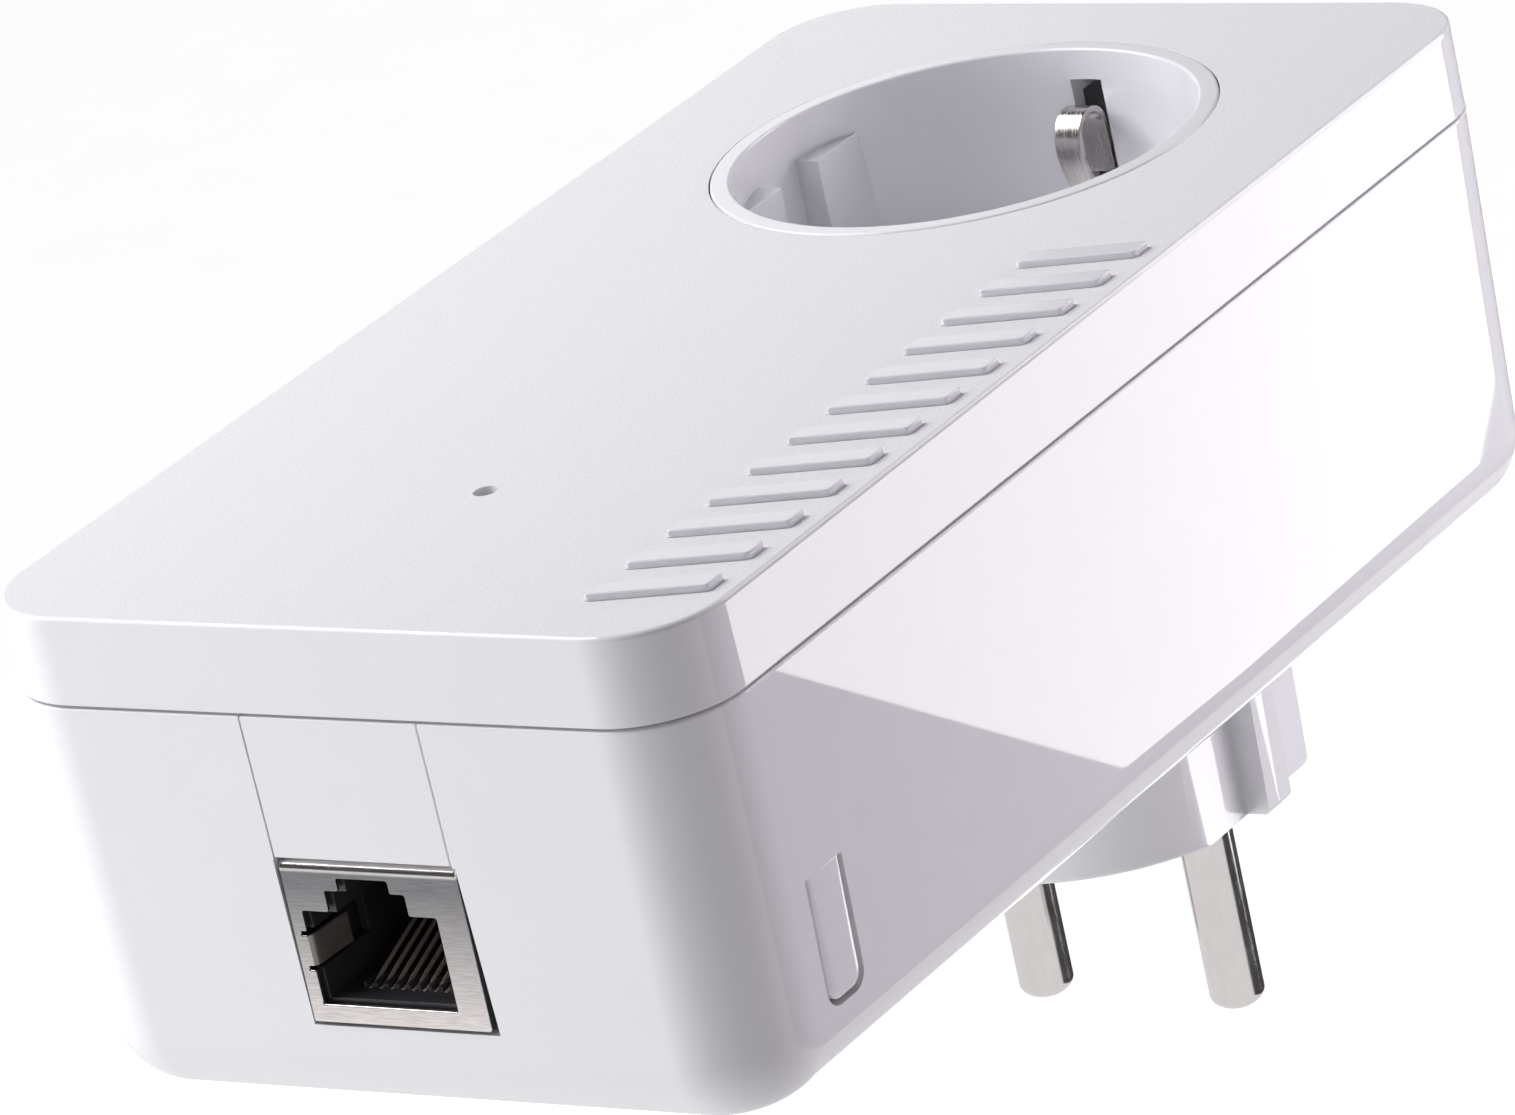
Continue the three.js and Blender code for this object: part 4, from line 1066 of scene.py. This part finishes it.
def jack_shield():
    """The folded steel can, with its keyed mouth and the tongue's notches."""
    sheet = 0.4
    bend = 0.75
    low, high = jack_low, jack_high
    side_profile = [
        (low.y, low.z), (high.y, low.z), (high.y, high.z),
        *arc((low.y + bend, high.z - bend), bend, 90, 180, 8),
    ]
    can = extruded("jack_shield_can", side_profile, low.x, high.x, "X")
    round_edges(can, 0.22, 3, 60)
    inner_profile = [
        (low.y + sheet, 20), (high.y - sheet, 20), (high.y - sheet, high.z - sheet),
        *arc((low.y + bend, high.z - bend), bend - sheet, 90, 180, 6),
    ]
    mouth = softened(port_outline(0), 0.22, 3)
    left = PORT_X - PORT_HALF
    notches = []
    for name, base in (("notch_low", TAB_LOW - 0.34), ("notch_high", TAB_HIGH)):
        outline = rounded_rect(left - 0.55, left + 0.3, base, base + 0.34, 0.12, 3)
        notches.append(extruded(name, outline, low.y - 1, low.y + 1, "Y"))
    cut(
        can,
        extruded("inside", inner_profile, low.x + sheet, high.x - sheet, "X"),
        extruded("mouth", mouth, low.y - 1, low.y + 1, "Y"),
        *notches,
    )
    round_edges(can, 0.11, 3, 60)

    def in_the_gap(face):
        """The can's outer sides, painted black as shade because they lie in a narrow gap."""
        return abs(face.normal.x) > 0.7 and face.center.y > (low.y + 0.35) * MM

    return place(
        can, "root", "jack_steel", "jack_shield", finish=STEEL, second=BLACK, second_where=in_the_gap
    )


def jack_tab():
    """The shield's earthing tongue, bent back into the mouth."""
    y = jack_low.y
    bent = [(-7.25, y + 0.18), (-6.95, y + 0.3), (-6.8, y + 0.8), (-6.75, y + 2.4), (-6.5, y + 4.6)]
    outline = ribbon(spline(bent, 5), 0.3)
    tab = extruded("jack_shield_tab", outline, TAB_LOW + 0.04, TAB_HIGH - 0.04)
    return place(tab, "root", "jack_steel", finish=TAB)


def jack_body():
    """The black moulding in the can, with a comb between the wires."""
    low, high = jack_body_low, jack_body_high
    cavity_depth = 13.6
    tab_depth = 6.6
    tab_gap = 0.35
    body = block("jack_moulding", low.x, high.x, low.y, high.y, low.z, high.z)
    cut(
        body,
        extruded("cavity", port_outline(-0.3), low.y - 1, low.y + cavity_depth, "Y"),
        block(
            "tab_space", low.x - 1, PORT_X - 5.6, low.y - 1, low.y + tab_depth,
            TAB_LOW - tab_gap, TAB_HIGH + tab_gap,
        ),
    )
    floor = PORT_BOTTOM + 0.3
    for i in range(WIRE_COUNT + 1):
        x = PORT_X + (i - WIRE_COUNT / 2) * WIRE_PITCH
        join(body, block("comb", x - 0.22, x + 0.22, low.y + 2.0, low.y + 4.2, floor - 0.3, floor + 0.4))
    round_edges(body, 0.1, 2)
    return place(body, "root", "black_plastic", "jack_body", finish=PORT_BLACK)


def jack_wire(index):
    """One sprung contact wire, rising towards the back of the jack."""
    x = PORT_X + (index - (WIRE_COUNT + 1) / 2) * WIRE_PITCH
    y = jack_low.y
    z = PORT_BOTTOM
    points = [
        (x, y + 2.6, z + 0.2), (x, y + 3.4, z + 0.3), (x, y + 5.0, z + 0.95), (x, y + 12.4, z + 3.6),
        (x, y + 13.1, z + 3.5),
    ]
    name = f"jack_wire_{index}"
    wire = tube(name + "_formed", spline(points, 6), 0.19)
    return place(wire, "jack_contacts", "nickel", name, finish=WIRE)


# Camera, lights and floor

CAMERA_PLACE = Vector((0.455277, -0.664483, 0.328616))
CAMERA_AHEAD = Vector((-0.552306, 0.756597, -0.350027)).normalized()
CAMERA_RIGHT = Vector((0.833188, 0.514839, -0.201838)).normalized()
CAMERA_LENS = 244.47
OBJECT_MIDDLE = (0.0, -0.034, 0.035)
SOCKET_MIDDLE = (0.0, 0.0, 0.06)
BUTTON_MIDDLE = (0.033, -0.086, 0.027)
BACK_CARD_TARGET = (-0.19, -0.15, 0.0)
SENSOR = 36.0
AMBIENT = 0.17
TABLE_REFLECTION = 0.85
ROOM_REFLECTION = 0.06
GLOW_REFLECTION = 1.6

# Name, (azimuth, elevation, distance, width, height), radiance, target, and what doesn't see the lamp
SOFTBOXES = [
    ("key_softbox", (-135, -15, 0.9, 0.76, 0.76), 3.9, OBJECT_MIDDLE, "glossy"),
    ("front_fill", (-45, 5, 0.9, 0.6, 0.5), 0.7, OBJECT_MIDDLE, "glossy"),
    ("rim_card", (65, 33, 0.8, 0.4, 0.3), 3.0, OBJECT_MIDDLE, "diffuse"),
    ("back_card", (127, 22, 1.2, 0.6, 0.5), 0.8, BACK_CARD_TARGET, "diffuse"),
    ("button_edge_card", (80, -20, 1.2, 0.42, 0.3), 3.0, BUTTON_MIDDLE, "diffuse"),
    ("overhead_softbox", (-160, 46, 0.55, 0.42, 0.42), 6.5, SOCKET_MIDDLE, None),
    ("right_fill", (35, 2, 1.0, 0.6, 0.5), 3.3, OBJECT_MIDDLE, "glossy"),
    ("under_fill", (-70, -75, 0.6, 0.45, 0.45), 1.3, OBJECT_MIDDLE, "glossy"),
]

# Two places on the +X side, as (y, z), where the side lamp's edge is mirrored towards the camera
REFLECTED_EDGE = ((-87.5, 52.6), (-45.3, 25.2))


def camera():
    """The camera at the photograph's viewing angle."""
    data = bpy.data.cameras.new("camera")
    data.lens = CAMERA_LENS
    data.sensor_width = SENSOR
    data.sensor_fit = "HORIZONTAL"
    data.clip_start = 0.01
    data.clip_end = 50.0
    made = bpy.data.objects.new("camera", data)
    up = CAMERA_RIGHT.cross(CAMERA_AHEAD)
    turn = Matrix((CAMERA_RIGHT, up, -CAMERA_AHEAD)).transposed().to_4x4()
    made.matrix_world = Matrix.Translation(CAMERA_PLACE) @ turn
    bpy.context.scene.collection.objects.link(made)
    bpy.context.scene.camera = made


def softbox(name, place_at, right, up, width, height, radiance):
    """A rectangular lamp of even brightness, given by its middle and its two edge directions."""
    data = bpy.data.lights.new(name, "AREA")
    data.shape = "RECTANGLE"
    data.size = width
    data.size_y = height
    data.energy = radiance * math.pi * width * height
    made = bpy.data.objects.new(name, data)
    ahead = right.cross(up)
    turn = Matrix((right, up, ahead)).transposed().to_4x4()
    made.matrix_world = Matrix.Translation(place_at) @ turn
    made.visible_camera = False
    bpy.context.scene.collection.objects.link(made)
    return made


def aimed_softbox(name, azimuth, elevation, distance, width, height, radiance, target):
    """A softbox that faces the target. Azimuth is from +X towards +Y, in degrees."""
    a, e = math.radians(azimuth), math.radians(elevation)
    back = Vector((math.cos(a) * math.cos(e), math.sin(a) * math.cos(e), math.sin(e)))
    right = Vector((-math.sin(a), math.cos(a), 0))
    up = back.cross(right)
    return softbox(name, Vector(target) + back * distance, right, up, width, height, radiance)


def side_softbox(radiance, reach, width, height):
    """The lamp whose slanted edge the camera sees as a sharp line in the glossy +X side."""
    normal = Vector((1, 0, -DRAFT)).normalized()
    on_side = Vector((HALF_WIDTH, 0, RIM)) * MM
    edge_points = []
    for y, z in REFLECTED_EDGE:
        x = HALF_WIDTH - DRAFT * (RIM - z)
        point = Vector((x, y, z)) * MM
        mirrored = CAMERA_PLACE - 2 * normal * (CAMERA_PLACE - on_side).dot(normal)
        edge_points.append(mirrored + (point - mirrored) * reach)
    top, low = edge_points
    along = (low - top).normalized()
    middle_line = (top + low) / 2
    facing = Vector((HALF_WIDTH, MID_Y, 40)) * MM - middle_line
    facing = (facing - along * facing.dot(along)).normalized()
    inward = along.cross(facing).normalized()
    if inward.y < 0:
        inward = -inward
    right = -along if along.cross(inward).dot(facing) > 0 else along
    middle = middle_line + inward * height / 2
    return softbox("side_softbox", middle, right, inward, width, height, radiance)


def lights():
    """All the lamps. Some are hidden from reflections, some show only in them, one lights one piece."""
    side_softbox(4.1, 1.4, 0.21, 0.5)
    for name, place_and_size, radiance, target, hidden_from in SOFTBOXES:
        lamp = aimed_softbox(name, *place_and_size, radiance, target)
        if hidden_from:
            setattr(lamp, "visible_" + hidden_from, False)
    bpy.data.objects["right_fill"].data.color = (1.0, 0.88, 1.0)
    button_only = bpy.data.collections.new("lit_by_button_edge_card")
    button_only.objects.link(bpy.data.objects["pairing_tongue"])
    bpy.data.objects["button_edge_card"].light_linking.receiver_collection = button_only
    world()


def world():
    """White for the camera and dim light for plain surfaces, with a drawn room in reflections only.

    The room has a pale table below, darkness above and on one side, and a bright patch.
    """
    sky = bpy.data.worlds.new("studio")
    sky.use_nodes = True
    nodes, links = sky.node_tree.nodes, sky.node_tree.links

    def background(colour, strength):
        made = nodes.new("ShaderNodeBackground")
        made.inputs["Color"].default_value = (*colour, 1)
        made.inputs["Strength"].default_value = strength
        return made.outputs["Background"]

    def mixed(first, second, share):
        mix = nodes.new("ShaderNodeMixShader")
        links.new(share, mix.inputs["Fac"])
        links.new(first, mix.inputs[1])
        links.new(second, mix.inputs[2])
        return mix.outputs["Shader"]

    def stepped(source, start, end):
        step = nodes.new("ShaderNodeMapRange")
        step.inputs["From Min"].default_value = start
        step.inputs["From Max"].default_value = end
        links.new(source, step.inputs["Value"])
        return step.outputs["Result"]

    direction = nodes.new("ShaderNodeTexCoord").outputs["Generated"]

    def along(axis):
        dot = nodes.new("ShaderNodeVectorMath")
        dot.operation = "DOT_PRODUCT"
        dot.inputs[1].default_value = axis
        links.new(direction, dot.inputs[0])
        return dot.outputs["Value"]

    ray = nodes.new("ShaderNodeLightPath").outputs
    towards = nodes.new("ShaderNodeSeparateXYZ")
    links.new(direction, towards.inputs["Vector"])
    room = background((1, 1, 1), ROOM_REFLECTION)
    table = background((1.0, 0.985, 0.99), TABLE_REFLECTION)
    glow = background((1, 1, 1), GLOW_REFLECTION)
    above_horizon = stepped(towards.outputs["Z"], -0.16, 0.02)
    dark_side = stepped(along((0.53, 0.85, 0.6)), 0.40, 0.42)
    bright_patch = stepped(along((-0.47, 0.757, -0.45)), 0.966, 0.971)
    table = mixed(table, room, above_horizon)
    table = mixed(table, room, dark_side)
    table = mixed(table, glow, bright_patch)
    shown = mixed(background((0.95, 0.96, 1.0), AMBIENT), table, ray["Is Glossy Ray"])
    shown = mixed(shown, background((1, 1, 1), 1.0), ray["Is Camera Ray"])
    links.new(shown, nodes["World Output"].inputs["Surface"])
    nodes.remove(nodes["Background"])
    bpy.context.scene.world = sky


def floor():
    """A wide pale floor far below the object. It glows, and no reflection or bounced light sees it."""
    depth = -700.0
    reach = 6000.0
    sheet = new_object(
        "studio_floor",
        [(-reach, -reach, depth), (reach, -reach, depth), (reach, reach, depth), (-reach, reach, depth)],
        [(0, 1, 2, 3)],
    )
    sheet.data.transform(Matrix.Scale(MM, 4))
    paint = Finish("studio_floor_paint", 0.8, Emission_Strength=0.82)
    paint.shader.inputs["Emission Color"].default_value = (1, 1, 1, 1)
    paint.feed("Base Color", paint.ramp(paint.noise(40.0, 4.0), (0.88, 0.88, 0.89), (0.93, 0.93, 0.94)))
    sheet.data.materials.append(paint.material)
    sheet.visible_diffuse = False
    sheet.visible_glossy = False


def finish_cad_nodes():
    """Gives every frame node that stays in view the finish of its material slot."""
    for subpart in frame["record"]["subparts"]:
        mesh = frame["nodes"][subpart["node"]].data
        mesh.materials.clear()
        mesh.materials.append(CAD_FINISHES[subpart["material_slot"]])


camera()
finish_cad_nodes()
rear_housing()
front_cover()
trim_bars()
port_filler_panel()
rating_label()
light_guide()
for screw_name in SCREWS:
    case_screw(screw_name)
plug_body()
plug_pin("live_pin", PIN_X)
plug_pin("neutral_pin", -PIN_X)
plug_earth_strip("plug_earth_strip_far")
plug_earth_strip("plug_earth_strip_near")
socket_insert()
earth_clip("earth_clip_far", "clip_far", 1)
earth_clip("earth_clip_near", "clip_near", -1)
pairing_button()
tact_plunger()
jack_shield()
jack_tab()
jack_body()
for wire_number in range(1, WIRE_COUNT + 1):
    jack_wire(wire_number)
lights()
floor()
bpy.context.scene.view_settings.view_transform = "Standard"
